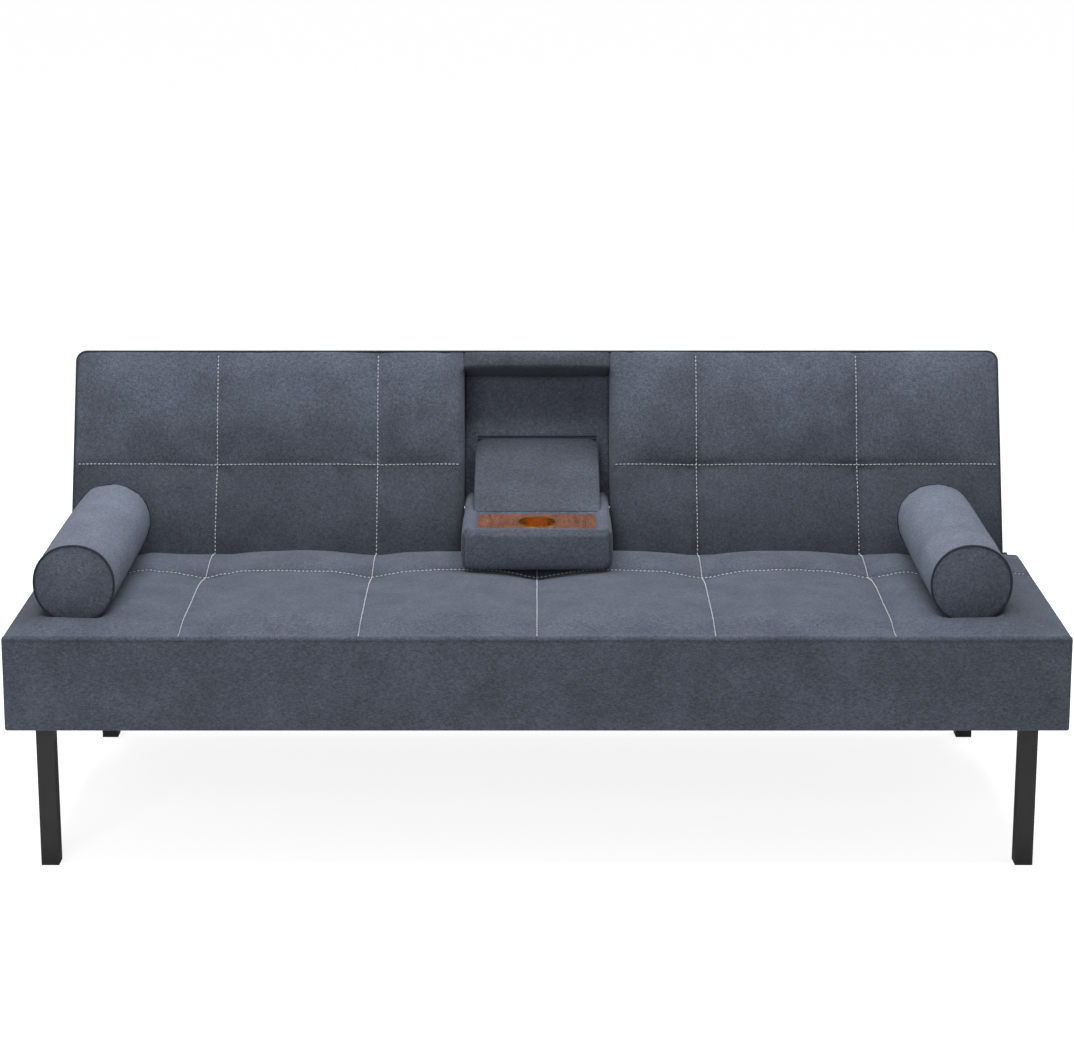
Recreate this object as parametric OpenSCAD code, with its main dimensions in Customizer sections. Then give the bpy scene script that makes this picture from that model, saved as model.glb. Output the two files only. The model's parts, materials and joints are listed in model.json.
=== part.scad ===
// Futon sofa bed: a click-clack sofa whose backrest folds flat level with the seat, with a padded
// console that folds down out of the backrest and two loose bolsters.
// Millimetres, Z up, X across, front towards -Y. The origin is on the floor under the middle.

/* [Seat] */
// Width of the seat over its cover
seat_w = 1780; // [1400:10:2200]
// Depth of the seat from its front face to its rear face
seat_d = 512; // [440:2:640]
// Height of the seat's top face above the floor
seat_h = 410; // [380:5:480]
// Height of the seat's upright walls
seat_t = 163; // [145:1:200]
// Radius of the seat's upright corners
seat_corner_r = 14; // [8:1:30]
// Thickness of the sewn covers
cover_t = 4; // [3.5:0.5:6]
// Thickness of the plywood boards of the seat box
board_t = 18; // [12:1:25]
// Height of the foam block under the seat's cover
seat_foam_t = 86; // [60:1:95]
// Thickness of the dust cover under the seat
dust_t = 1.5; // [1:0.5:3]

/* [Backrest] */
// How far each end of the backrest stands in from the seat's end
back_inset = 27; // [25:1:60]
// Length of the backrest up its slope, from the hinge axis to the top edge
back_l = 395; // [340:5:480]
// Thickness of the backrest
back_t = 125; // [115:1:150]
// Lean of the upright backrest from vertical
recline = 21; // [14:1:28]
// Radius of the backrest's lower edge around the hinge axis
nose_r = 22; // [20:1:28]
// Radius of the backrest's top corners
back_corner_r = 20; // [12:1:40]
// Gap between the seat's rear face and the swinging lower edge
swing_gap = 1; // [0.5:0.5:3]
// Diameter of the piping sewn into the backrest's front edge
piping_d = 3; // [2:0.5:3]

/* [Opening] */
// Width of the opening between the two wings
opening_w = 273; // [250:1:330]
// Height of the padded strip over the opening
strip_h = 34; // [30:1:50]
// Depth of the recess behind the opening
recess_d = 86; // [84:1:90]
// Height of the padded band under the opening, above the hinge axis
band_h = 24; // [16:1:26]

/* [Console] */
// Side clearance of the console in the opening
console_gap = 3; // [2:0.5:6]
// Clearance between the closed console and the strip above it
console_top_gap = 6; // [4:1:12]
// Thickness of the console
console_t = 75; // [68:1:80]
// Radius of the console's upright corners
console_corner_r = 24; // [18:1:28]
// Radius of the console's long edges
console_edge_r = 14; // [10:1:16]
// Height of the open console above the seat
console_lift = 15; // [10:1:20]
// Height of the console's pivot above its lower face
console_drop = 49; // [46:1:50]
// Length of the console behind its pivot
console_tail = 18; // [16:1:19]
// Thickness of the console's padding
pad_t = 5; // [4:0.5:6]
// Thickness of the console's boards
panel_t = 12; // [9:1:15]
// Width of the padded rim beside the wooden tray
rim_w = 25; // [15:1:40]
// Width of the padded rim in front of the wooden tray
rim_front = 14; // [10:1:30]
// Depth of the wooden tray from front to back
tray_d = 122; // [100:1:130]
// Inner radius of the cup well
cup_r = 33.5; // [28:0.5:42]
// Width of the flap behind the tray
flap_w = 232; // [200:1:240]
// Height of the flap's top edge up the backrest's slope, above the hinge axis
flap_top = 240; // [225:1:260]
// Thickness of the flap
flap_t = 12; // [8:1:14]

/* [Bolsters] */
// Diameter of a bolster
bolster_dia = 140; // [110:1:180]
// Length of a bolster
bolster_l = 440; // [340:5:440]
// Distance from a bolster's centre line to the seat's end
bolster_inset = 135; // [100:1:220]
// How far both bolsters lie to the side, towards +X
bolster_shift = -24; // [-60:1:60]
// Distance from a bolster's front end to the seat's front face
bolster_front = 70; // [40:1:70]

/* [Steel frame] */
// Side of the square tubes
tube = 30; // [25:1:40]
// Wall of the square tubes
tube_wall = 2; // [1.5:0.5:3]
// Distance from a leg's centre line to the seat's end
leg_inset = 63; // [58:1:100]
// Distance from a front leg's front face to the seat's front face
leg_front = 20; // [12:1:60]
// Distance from the seat's rear face to a rear leg's centre line
rear_leg_gap = 160; // [130:1:170]
// Thickness of a leg's mounting plate
plate_t = 3; // [3:0.5:5]
// Thickness of a leg's glide under the tube
glide_t = 4; // [3:1:8]
// Radius of the frame bolts' shanks
bolt_r = 4; // [3:0.5:4]

/* [Hinges] */
// Radius of a hinge pin
pin_r = 6; // [5:0.5:7]
// Radial clearance of the pins in their bores
pin_play = 0.05; // [0.03:0.01:0.1]
// Clearance of the padding round a console pin
pad_play = 0.6; // [0.4:0.1:1]
// Thickness of a hinge bracket
bracket_t = 5; // [4:1:6]
// Thickness of a hinge arm
arm_t = 4; // [3:0.5:5]
// Thickness of a ratchet wheel and its pawl
wheel_t = 5; // [4:0.5:6]
// Number of ratchet teeth
wheel_teeth = 12; // [8:1:16]
// Radius of a console pivot pin
console_pin_r = 5; // [4:0.5:6]

/* [Hidden] */
$fn = 48;

fabric_colour = "lightsteelblue";
lining_colour = "slategray";
piping_colour = "midnightblue";
foam_colour = "khaki";
timber_colour = "burlywood";
walnut_colour = "sienna";
steel_colour = "dimgray";
zinc_colour = "silver";
brass_colour = "goldenrod";
rubber_colour = "black";

eps = 1;
rest_gap = 0.5;
soft_gap = 0.3;
glue_gap = 0.2;

// Levels of the seat
seat_bottom = seat_h - seat_t;
flat_z = seat_h - back_t;
bumper_min = 4;
rail_top = min(seat_bottom + plate_t + tube, flat_z - bumper_min);
rail_z = rail_top - tube;
leg_top = rail_z - plate_t;
batten_h = 20;
batten_w = 45;
foam_z = seat_h - cover_t - seat_foam_t;
strap_room = 8;
board_z = seat_bottom + dust_t;
board_top = foam_z - strap_room;

// Steel frame
leg_x = seat_w / 2 - leg_inset;
rear_leg_y = seat_d + rear_leg_gap;
front_leg_y = leg_front + tube / 2;
rail_front = cover_t + 4;
rail_rear = rear_leg_y + tube / 2;
plate_run = 42;
notch_gap = 1;
front_rail_y = max(front_leg_y, cover_t + board_t + notch_gap + tube / 2);
cross_rail_ys = [front_rail_y, seat_d / 2 + batten_w, rear_leg_y];
batten_margin = 112;
batten_ys = [batten_margin, seat_d / 2, seat_d - batten_margin];

// Hinge axis
hinge_y = seat_d + swing_gap + nose_r;
hinge_z = seat_h - nose_r;
back_x = seat_w / 2 - back_inset;
opening_x = opening_w / 2;
rear_t = cover_t;
back_rear = back_t - nose_r;
cavity_rear = back_rear - rear_t;
overall_d = hinge_y + back_l * sin(recline) + back_rear * cos(recline);

// Backrest frame, in the backrest's own slope and depth
timber_w = 30;
timber_d = 40;
timber_y = cavity_rear - 3 - timber_d;
webbing_t = 3;
arm_x = back_x - cover_t - 11 - arm_t;
wheel_x = arm_x - 3 - wheel_t;
wheel_r = nose_r - cover_t;
bracket_x = back_x + 5;
strip_z = back_l - strip_h;
top_rail_z = strip_z + cover_t;
top_rail_h = strip_h - 2 * cover_t;
bottom_rail_z = cover_t + 1;
bottom_rail_h = 29;
stile_z = bottom_rail_z + bottom_rail_h;
foam_start = 45;
recess_y = recess_d - nose_r;
lining_t = 2;
console_bracket_t = 3;
inner_stile_x = opening_x + cover_t + console_bracket_t;

// Console pivot: the console lies level when open and flush with the backrest when closed
pivot_depth = console_drop - nose_r;
pivot_rise = (seat_h + console_lift + console_drop - hinge_z + pivot_depth * sin(recline))
    / cos(recline);
pivot_y = hinge_y + pivot_rise * sin(recline) + pivot_depth * cos(recline);
pivot_z = seat_h + console_lift + console_drop;
console_l = strip_z - console_top_gap - pivot_rise;
console_x = opening_x - console_gap;
console_top = console_t - console_drop;
inner_x = console_x - pad_t;
tray_z = console_top - pad_t - panel_t;
base_z = -console_drop + pad_t;
tray_front = -console_l + rim_front;
cup_y = tray_front + tray_d / 2;
tray_lap = 14;
tray_rear = tray_front + tray_d + tray_lap;
cup_wall = 1.5;

// Bolsters
bolster_r = bolster_dia / 2;
bolster_x = seat_w / 2 - bolster_inset;

module in_frame() {
    translate([0, -overall_d / 2, 0])
        children();
}

module both_sides() {
    children();
    mirror([1, 0, 0])
        children();
}

// The backrest's own axes: Z runs up its slope and Y through its thickness, from the hinge axis
module on_back() {
    translate([0, hinge_y, hinge_z])
        rotate([-recline, 0, 0])
            children();
}

module on_pivot() {
    translate([0, pivot_y, pivot_z])
        children();
}

// Extrudes a depth and height profile along X, from x0 to x1
module along_x(x0, x1) {
    translate([x0, 0, 0])
        rotate([90, 0, 90])
            linear_extrude(x1 - x0)
                children();
}

// Extrudes a width and height outline along Y, from y0 to y1
module along_y(y0, y1) {
    translate([0, y1, 0])
        rotate([90, 0, 0])
            linear_extrude(y1 - y0)
                children();
}

module bar(x0, x1, y0, y1, z0, z1) {
    translate([x0, y0, z0])
        cube([x1 - x0, y1 - y0, z1 - z0]);
}

module pin(x0, x1, r, y = 0, z = 0) {
    translate([x0, y, z])
        rotate([0, 90, 0])
            cylinder(h = x1 - x0, r = r);
}

module rounded_rect(w, d, r) {
    translate([-w / 2 + r, 0])
        square([w - 2 * r, d]);
    translate([-w / 2, r])
        square([w, d - 2 * r]);
    for (x = [-w / 2 + r, w / 2 - r], y = [r, d - r])
        translate([x, y])
            circle(r);
}

module square_tube_x(x0, x1, y, z) {
    difference() {
        bar(x0, x1, y - tube / 2, y + tube / 2, z, z + tube);
        bar(x0 - eps, x1 + eps, y - tube / 2 + tube_wall, y + tube / 2 - tube_wall,
            z + tube_wall, z + tube - tube_wall);
    }
}

// ---- Steel frame ----

module at_legs() {
    both_sides() {
        translate([leg_x, front_leg_y, 0])
            children();
        translate([leg_x, rear_leg_y, 0])
            mirror([0, 1, 0])
                children();
    }
}

// Two bolt places on each leg's plate, clear of the leg itself
module at_leg_bolts() {
    at_legs()
        for (y = [tube / 2 + plate_run - 30, tube / 2 + plate_run - 12])
            translate([0, y, 0])
                children();
}

module at_batten_bolts() {
    both_sides()
        for (y = batten_ys)
            translate([leg_x, y, 0])
                children();
}

module side_rails() color(steel_colour) {
    difference() {
        both_sides()
            difference() {
                bar(leg_x - tube / 2, leg_x + tube / 2, rail_front, rail_rear, rail_z, rail_top);
                bar(leg_x - tube / 2 + tube_wall, leg_x + tube / 2 - tube_wall,
                    rail_front - eps, rail_rear + eps, rail_z + tube_wall, rail_top - tube_wall);
            }
        at_leg_bolts()
            translate([0, 0, rail_z - eps])
                cylinder(h = tube_wall + 2 * eps, r = bolt_r);
        at_batten_bolts()
            translate([0, 0, rail_top - tube_wall - eps])
                cylinder(h = tube_wall + 2 * eps, r = bolt_r);
    }
}

module cross_rails() color(steel_colour) {
    for (y = cross_rail_ys)
        square_tube_x(-leg_x + tube / 2, leg_x - tube / 2, y, rail_z);
}

module legs() color(steel_colour) {
    at_legs()
        difference() {
            bar(-tube / 2, tube / 2, -tube / 2, tube / 2, glide_t, leg_top);
            bar(-tube / 2 + tube_wall, tube / 2 - tube_wall,
                -tube / 2 + tube_wall, tube / 2 - tube_wall, glide_t - eps, leg_top + eps);
        }
}

module leg_plates() color(steel_colour) {
    difference() {
        at_legs()
            bar(-tube / 2, tube / 2, -tube / 2, tube / 2 + plate_run, leg_top, rail_z);
        at_leg_bolts()
            translate([0, 0, leg_top - eps])
                cylinder(h = plate_t + 2 * eps, r = bolt_r);
    }
}

module leg_bolts() color(zinc_colour) {
    head_h = 5.5;
    at_leg_bolts() {
        translate([0, 0, leg_top - head_h])
            cylinder(h = head_h, r = 1.7 * bolt_r, $fn = 6);
        translate([0, 0, leg_top - eps])
            cylinder(h = plate_t + tube_wall + 12, r = bolt_r);
    }
}

module leg_glides() color(rubber_colour) {
    plug = tube / 2 - tube_wall - 0.2;
    at_legs() {
        bar(-tube / 2, tube / 2, -tube / 2, tube / 2, 0, glide_t);
        bar(-plug, plug, -plug, plug, glide_t - eps, glide_t + 14);
    }
}

module rail_caps() color(rubber_colour) {
    plug = tube / 2 - tube_wall - 0.2;
    both_sides() {
        bar(leg_x - tube / 2, leg_x + tube / 2, rail_rear, rail_rear + 2, rail_z, rail_top);
        bar(leg_x - plug, leg_x + plug, rail_rear - 12, rail_rear + eps,
            rail_z + tube / 2 - plug, rail_z + tube / 2 + plug);
    }
}

module back_bumpers() color(rubber_colour) {
    outer = back_x - 210;
    inner = opening_x + 160;
    for (x = [-outer, -inner, inner, outer])
        translate([x, rear_leg_y, rail_top])
            cylinder(h = flat_z - rest_gap - rail_top, r = tube / 2 - 4);
}

// ---- Click-clack hinges ----

module hinge_brackets() color(steel_colour) {
    head_r = nose_r - 4;
    foot_y = hinge_y - seat_d - 4;
    both_sides()
        difference() {
            union() {
                along_x(bracket_x, bracket_x + bracket_t) {
                    translate([hinge_y, hinge_z])
                        circle(head_r);
                    polygon([
                        [hinge_y - head_r, hinge_z],
                        [hinge_y - foot_y, rail_z],
                        [hinge_y + 2 * head_r, rail_z],
                        [hinge_y + head_r, hinge_z]
                    ]);
                }
                bar(leg_x + tube / 2, bracket_x + eps, hinge_y - foot_y + 4, hinge_y + tube,
                    rail_z, rail_top - 2);
            }
            pin(bracket_x - eps, bracket_x + bracket_t + eps, pin_r, hinge_y, hinge_z);
        }
}

module hinge_pins() color(zinc_colour) {
    both_sides() {
        pin(wheel_x - 3, bracket_x + bracket_t + eps, pin_r, hinge_y, hinge_z);
        pin(bracket_x + bracket_t, bracket_x + bracket_t + 4, pin_r + 4, hinge_y, hinge_z);
    }
}

module ratchet_wheels() color(zinc_colour) {
    root_r = wheel_r - 4;
    step = 360 / wheel_teeth;
    tip_r = wheel_r - 0.6;
    both_sides()
        difference() {
            along_x(wheel_x, wheel_x + wheel_t)
                translate([hinge_y, hinge_z])
                    polygon([
                        for (i = [0 : wheel_teeth - 1])
                            for (p = [[root_r, i * step], [tip_r, (i + 0.25) * step]])
                                [p[0] * cos(p[1]), p[0] * sin(p[1])]
                    ]);
            pin(wheel_x - eps, wheel_x + wheel_t + eps, pin_r, hinge_y, hinge_z);
        }
}

arm_end = 210;
arm_screw_zs = [70, 130, 190];
arm_y0 = timber_y + 4;
arm_y1 = timber_y + timber_d - 4;
arm_screw_y = (arm_y0 + arm_y1) / 2;
arm_heel = 80;
pawl_y = 34;
pawl_z = 36;
pawl_half = 6;
pawl_gap = 0.6;
rivet_r = 3;
screw_grip = 24;
bracket_grip = 20;

module hinge_arms() color(steel_colour) {
    head_r = nose_r - cover_t - 4;
    on_back()
        both_sides()
            difference() {
                along_x(arm_x, arm_x + arm_t) {
                    circle(head_r);
                    polygon([
                        [-head_r, 0], [head_r, 0], [nose_r, cover_t + 2],
                        [arm_y1, bottom_rail_z + 20], [arm_y1, arm_end],
                        [arm_y0, arm_end], [arm_y0, arm_heel]
                    ]);
                }
                pin(arm_x - eps, arm_x + arm_t + eps, pin_r + pin_play);
                pin(arm_x - eps, arm_x + arm_t + eps, rivet_r, pawl_y, pawl_z);
                for (z = arm_screw_zs)
                    pin(arm_x - eps, arm_x + arm_t + eps, rivet_r, arm_screw_y, z);
            }
}

bracket_screw_zs = [-13, 13];

module back_screws() color(zinc_colour) {
    on_back()
        both_sides() {
            for (z = arm_screw_zs) {
                pin(arm_x - screw_grip, arm_x + arm_t + eps, rivet_r, arm_screw_y, z);
                pin(arm_x + arm_t, arm_x + arm_t + 3, 2 * rivet_r, arm_screw_y, z);
            }
            for (z = bracket_screw_zs)
                pin(opening_x + cover_t, inner_stile_x + bracket_grip, rivet_r,
                    arm_screw_y, pivot_rise + z);
        }
}

// The pawl's nose stands just off the teeth, on the radius that they sweep
module ratchet_pawls() color(zinc_colour) {
    nose = [cos(60), sin(60)] * (wheel_r + pawl_gap);
    on_back()
        both_sides()
            difference() {
                along_x(wheel_x, wheel_x + wheel_t)
                    polygon([
                        nose,
                        [pawl_y - 10, pawl_z - pawl_half],
                        [pawl_y + 7, pawl_z - pawl_half],
                        [pawl_y + 7, pawl_z + pawl_half],
                        [pawl_y - 10, pawl_z + pawl_half]
                    ]);
                pin(wheel_x - eps, wheel_x + wheel_t + eps, rivet_r, pawl_y, pawl_z);
            }
}

module pawl_rivets() color(zinc_colour) {
    on_back()
        both_sides() {
            pin(wheel_x, arm_x + arm_t, rivet_r, pawl_y, pawl_z);
            pin(wheel_x - 2, wheel_x, rivet_r + 2, pawl_y, pawl_z);
        }
}

module pawl_springs() color(zinc_colour) {
    wire_r = 0.9;
    on_back()
        both_sides()
            translate([arm_x - 1.5, pawl_y, pawl_z])
                rotate([0, 90, 0])
                    rotate_extrude()
                        translate([rivet_r + wire_r + 0.2, 0])
                            circle(wire_r, $fn = 24);
}

// ---- Seat ----

module seat_outline(inset) {
    translate([0, inset])
        rounded_rect(seat_w - 2 * inset, seat_d - 2 * inset, seat_corner_r - inset);
}

// The rails leave the seat box through its rear wall
module rail_notches(gap) {
    both_sides()
        bar(leg_x - tube / 2 - gap, leg_x + tube / 2 + gap, seat_d / 2, seat_d + eps,
            seat_bottom - eps, rail_top + gap);
}

module seat_boards() color(timber_colour) {
    wide = seat_w / 2 - cover_t;
    difference() {
        union() {
            bar(-wide + seat_corner_r, wide - seat_corner_r, cover_t, cover_t + board_t,
                board_z, board_top);
            bar(-wide + seat_corner_r, wide - seat_corner_r, seat_d - cover_t - board_t,
                seat_d - cover_t, board_z, board_top);
            both_sides()
                bar(wide - board_t, wide, cover_t + board_t + glue_gap,
                    seat_d - cover_t - board_t - glue_gap, board_z, board_top);
        }
        rail_notches(notch_gap);
        both_sides()
            bar(leg_x - tube / 2 - notch_gap, leg_x + tube / 2 + notch_gap, 0,
                cover_t + board_t + eps, seat_bottom - eps, rail_top + notch_gap);
    }
}

module corner_blocks() color(timber_colour) {
    leg = 60;
    x = seat_w / 2 - cover_t - board_t;
    both_sides()
        for (side = [0, 1])
            translate([x, side == 0 ? cover_t + board_t : seat_d - cover_t - board_t,
                       rail_top + notch_gap + 1])
                mirror([0, side, 0])
                    linear_extrude(board_top - rail_top - notch_gap - 1)
                        polygon([[0, 0], [-leg, 0], [0, leg]]);
}

module battens() color(timber_colour) {
    x = seat_w / 2 - cover_t - board_t;
    difference() {
        for (y = batten_ys)
            bar(-x, x, y - batten_w / 2, y + batten_w / 2, rail_top, rail_top + batten_h);
        at_batten_bolts()
            translate([0, 0, rail_top - eps])
                cylinder(h = batten_h + 2 * eps, r = bolt_r);
    }
}

module batten_bolts() color(zinc_colour) {
    at_batten_bolts() {
        translate([0, 0, rail_top - 12])
            cylinder(h = batten_h + 12 + eps, r = bolt_r);
        translate([0, 0, rail_top + batten_h])
            cylinder(h = 4, r = 2 * bolt_r);
    }
}

strap_t = 2;
strap_w = 60;
strap_count = 8;
strap_y0 = cover_t + 2;
strap_spacing = (seat_w - 2 * cover_t - 2 * board_t - 100) / strap_count;
staple_t = 1;

module at_straps() {
    for (i = [0 : strap_count - 1])
        translate([(i - (strap_count - 1) / 2) * strap_spacing, 0, board_top])
            children();
}

// Elastic straps from the front board to the rear board, under the foam
module seat_webbing() color(rubber_colour) {
    at_straps()
        bar(-strap_w / 2, strap_w / 2, strap_y0, seat_d - strap_y0, 0, strap_t);
}

module webbing_staples() color(zinc_colour) {
    staple_w = 12;
    at_straps()
        for (x = [-1.5, 0, 1.5] * staple_w, y = [strap_y0 + 5, seat_d - strap_y0 - 5])
            bar(x - staple_w / 2, x + staple_w / 2, y - 1, y + 1, strap_t, strap_t + staple_t);
}

module seat_foam() color(foam_colour) {
    translate([0, 0, foam_z])
        linear_extrude(seat_foam_t)
            seat_outline(cover_t);
}

module seat_cover() color(fabric_colour) {
    difference() {
        translate([0, 0, seat_bottom])
            linear_extrude(seat_t)
                seat_outline(0);
        translate([0, 0, seat_bottom - eps])
            linear_extrude(seat_t - cover_t + eps)
                seat_outline(cover_t);
        rail_notches(notch_gap);
    }
}

// Room for the rails where a thick backrest sets them lower than the dust cover
module rail_slots() {
    z0 = rail_z - notch_gap;
    z1 = rail_top + notch_gap;
    both_sides()
        bar(leg_x - tube / 2 - notch_gap, leg_x + tube / 2 + notch_gap, -eps, seat_d + eps, z0, z1);
    for (y = cross_rail_ys)
        bar(-leg_x, leg_x, y - tube / 2 - notch_gap, y + tube / 2 + notch_gap, z0, z1);
}

module dust_cover() color(rubber_colour) {
    difference() {
        translate([0, 0, seat_bottom])
            linear_extrude(dust_t)
                seat_outline(cover_t);
        at_legs()
            bar(-tube / 2 - notch_gap, tube / 2 + notch_gap, -tube / 2 - notch_gap,
                tube / 2 + plate_run + notch_gap, seat_bottom - eps, seat_bottom + dust_t + eps);
        rail_slots();
    }
}

// ---- Backrest ----

// Section through the backrest: a slab whose lower front edge is round about the hinge axis
module back_section(inset, rear, top) {
    circle(nose_r - inset);
    translate([-nose_r + inset, 0])
        square([rear + nose_r - inset, top - inset]);
    translate([0, -nose_r + inset])
        square([rear, nose_r]);
}

// Outline of one half of the backrest seen from the front, its top outer corner rounded
module half_outline(x0, z0, inset, r = back_corner_r) {
    x1 = back_x - inset;
    z1 = back_l - inset;
    corner = r - inset;
    translate([x0, z0])
        square([x1 - x0, z1 - z0 - corner]);
    translate([x0, z0])
        square([x1 - x0 - corner, z1 - z0]);
    translate([x1 - corner, z1 - corner])
        circle(corner);
}

module piping_groove(x0) {
    difference() {
        along_y(-nose_r - eps, -nose_r + piping_d)
            half_outline(x0, 0, -eps, back_corner_r);
        along_y(-nose_r - 2 * eps, -nose_r + piping_d + eps)
            half_outline(x0 - eps, -nose_r, piping_d);
    }
}

module wing_cover() color(fabric_colour) {
    difference() {
        intersection() {
            along_x(opening_x, back_x)
                back_section(0, cavity_rear, back_l);
            along_y(-nose_r, back_rear)
                half_outline(opening_x, -nose_r, 0);
        }
        intersection() {
            along_x(opening_x + cover_t, back_x - cover_t)
                back_section(cover_t, cavity_rear + eps, back_l);
            along_y(-nose_r, back_rear)
                half_outline(opening_x, -nose_r, cover_t);
        }
        bar(opening_x - eps, opening_x + cover_t + eps, -nose_r + cover_t, cavity_rear + eps,
            top_rail_z, top_rail_z + top_rail_h);
        bar(opening_x - eps, opening_x + cover_t + eps, timber_y, cavity_rear + eps,
            bottom_rail_z, stile_z);
        pin(back_x - cover_t - eps, back_x + eps, pin_r + 2);
        pin(opening_x - eps, opening_x + cover_t + eps, console_pin_r + 2,
            pivot_depth, pivot_rise);
        piping_groove(opening_x);
    }
}

module wing_cover_right() {
    on_back()
        wing_cover();
}

module wing_cover_left() {
    on_back()
        mirror([1, 0, 0])
            wing_cover();
}

module wing_foam() color(foam_colour) {
    x0 = inner_stile_x + 3;
    difference() {
        along_y(-nose_r + cover_t, timber_y - webbing_t - 1)
            half_outline(x0, foam_start, cover_t);
        bar(wheel_x - 4, back_x, -nose_r, timber_y, 0, arm_heel + 5);
    }
}

module wing_foam_right() {
    on_back()
        wing_foam();
}

module wing_foam_left() {
    on_back()
        mirror([1, 0, 0])
            wing_foam();
}

module back_stiles() color(timber_colour) {
    on_back()
        difference() {
            both_sides() {
                bar(arm_x - timber_w, arm_x, timber_y, timber_y + timber_d, stile_z, top_rail_z);
                bar(inner_stile_x, inner_stile_x + timber_w, timber_y, timber_y + timber_d,
                    stile_z, top_rail_z);
            }
            both_sides() {
                for (z = arm_screw_zs)
                    pin(arm_x - screw_grip, arm_x + eps, rivet_r, arm_screw_y, z);
                for (z = bracket_screw_zs)
                    pin(inner_stile_x - eps, inner_stile_x + bracket_grip, rivet_r,
                        arm_screw_y, pivot_rise + z);
            }
        }
}

module back_top_rail() color(timber_colour) {
    on_back()
        bar(-arm_x, arm_x, timber_y, timber_y + timber_d, top_rail_z, top_rail_z + top_rail_h);
}

module back_bottom_rail() color(timber_colour) {
    on_back()
        bar(-arm_x, arm_x, timber_y, timber_y + timber_d, bottom_rail_z, stile_z);
}

module back_webbing() color(rubber_colour) {
    band = 50;
    first = 2 * band;
    last = top_rail_z - 2 * band;
    on_back()
        both_sides()
            for (z = [first, (first + last) / 2, last])
                bar(inner_stile_x + 3, arm_x - 2, timber_y - webbing_t, timber_y, z, z + band);
}

module top_strip_cover() color(fabric_colour) {
    on_back()
        difference() {
            bar(-opening_x, opening_x, -nose_r, cavity_rear, strip_z, back_l);
            bar(-opening_x - eps, opening_x + eps, -nose_r + cover_t, cavity_rear + eps,
                top_rail_z, top_rail_z + top_rail_h);
            bar(-opening_x - eps, opening_x + eps, -nose_r - eps, -nose_r + piping_d,
                back_l - piping_d, back_l + eps);
        }
}

module top_strip_foam() color(foam_colour) {
    on_back()
        bar(-opening_x, opening_x, -nose_r + cover_t, timber_y, top_rail_z,
            top_rail_z + top_rail_h);
}

module lower_band() color(fabric_colour) {
    on_back()
        along_x(-opening_x, opening_x)
            back_section(0, timber_y - rest_gap, band_h);
}

module recess_panel() color(timber_colour) {
    on_back()
        bar(-opening_x, opening_x, recess_y + lining_t, recess_y + lining_t + panel_t,
            stile_z, strip_z);
}

module recess_lining() color(lining_colour) {
    on_back()
        bar(-opening_x, opening_x, recess_y, recess_y + lining_t, stile_z, strip_z);
}

module panel_cleats() color(timber_colour) {
    y0 = recess_y + lining_t + panel_t;
    cleat_w = 20;
    on_back()
        both_sides()
            bar(opening_x - cleat_w, opening_x, y0, timber_y + timber_d,
                stile_z + cleat_w, strip_z - cleat_w);
}

module rear_panel() color(fabric_colour) {
    on_back()
        along_y(cavity_rear, back_rear) {
            half_outline(0, -nose_r, 0);
            mirror([1, 0])
                half_outline(0, -nose_r, 0);
        }
}

module back_piping() color(piping_colour) {
    r = piping_d / 2;
    x1 = back_x - back_corner_r;
    z1 = back_l - back_corner_r;
    on_back()
        translate([0, -nose_r + r, 0]) {
            pin(-x1, x1, r, 0, back_l - r);
            both_sides() {
                translate([x1, 0, z1])
                    rotate([90, 0, 0])
                        rotate_extrude(angle = 90)
                            translate([back_corner_r - r, 0])
                                circle(r);
                translate([back_x - r, 0, 0])
                    cylinder(h = z1, r = r);
            }
        }
}

module console_brackets() color(steel_colour) {
    eye_r = 14;
    x0 = opening_x + cover_t;
    on_back()
        both_sides()
            difference() {
                along_x(x0, x0 + console_bracket_t) {
                    translate([pivot_depth, pivot_rise])
                        circle(eye_r);
                    polygon([
                        [pivot_depth, pivot_rise - eye_r],
                        [timber_y + timber_d - 4, pivot_rise - 24],
                        [timber_y + timber_d - 4, pivot_rise + 24],
                        [pivot_depth, pivot_rise + eye_r]
                    ]);
                }
                pin(x0 - eps, x0 + console_bracket_t + eps, console_pin_r + pin_play,
                    pivot_depth, pivot_rise);
                for (z = bracket_screw_zs)
                    pin(x0 - eps, x0 + console_bracket_t + eps, rivet_r,
                        arm_screw_y, pivot_rise + z);
            }
}

// The flap is a padded web from the recess panel down to the console's deck, clear of both
flap_gap = 2;
flap_depth = recess_y - flap_t / 2 - flap_gap;
flap_lap = 27;
flap_root = [
    hinge_y + flap_top * sin(recline) + flap_depth * cos(recline),
    hinge_z + flap_top * cos(recline) - flap_depth * sin(recline)
];
flap_foot = [
    pivot_y - console_l + tray_rear - tray_front + flap_lap,
    pivot_z + console_top + flap_t / 2 + flap_gap
];

module console_flap() color(fabric_colour) {
    run = flap_root - flap_foot;
    angle = atan2(run[1], run[0]);
    translate([0, flap_foot[0], flap_foot[1]])
        rotate([angle, 0, 0])
            bar(-flap_w / 2, flap_w / 2, 0, norm(run), -flap_t / 2, flap_t / 2);
}

// ---- Console ----

console_head_r = console_pin_r + 4;

module console_section(inset) {
    r = console_edge_r - inset;
    translate([(console_tail - console_l) / 2, -console_drop + inset])
        rounded_rect(console_l + console_tail - 2 * inset, console_t - 2 * inset, r);
}

module console_outline(inset) {
    r = console_corner_r - inset;
    translate([0, -console_l + inset])
        rounded_rect(2 * (console_x - inset), console_l + console_tail - 2 * inset, r);
}

module console_body(inset) {
    intersection() {
        along_x(-console_x, console_x)
            console_section(inset);
        translate([0, 0, -console_drop])
            linear_extrude(console_t)
                console_outline(inset);
    }
}

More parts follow.
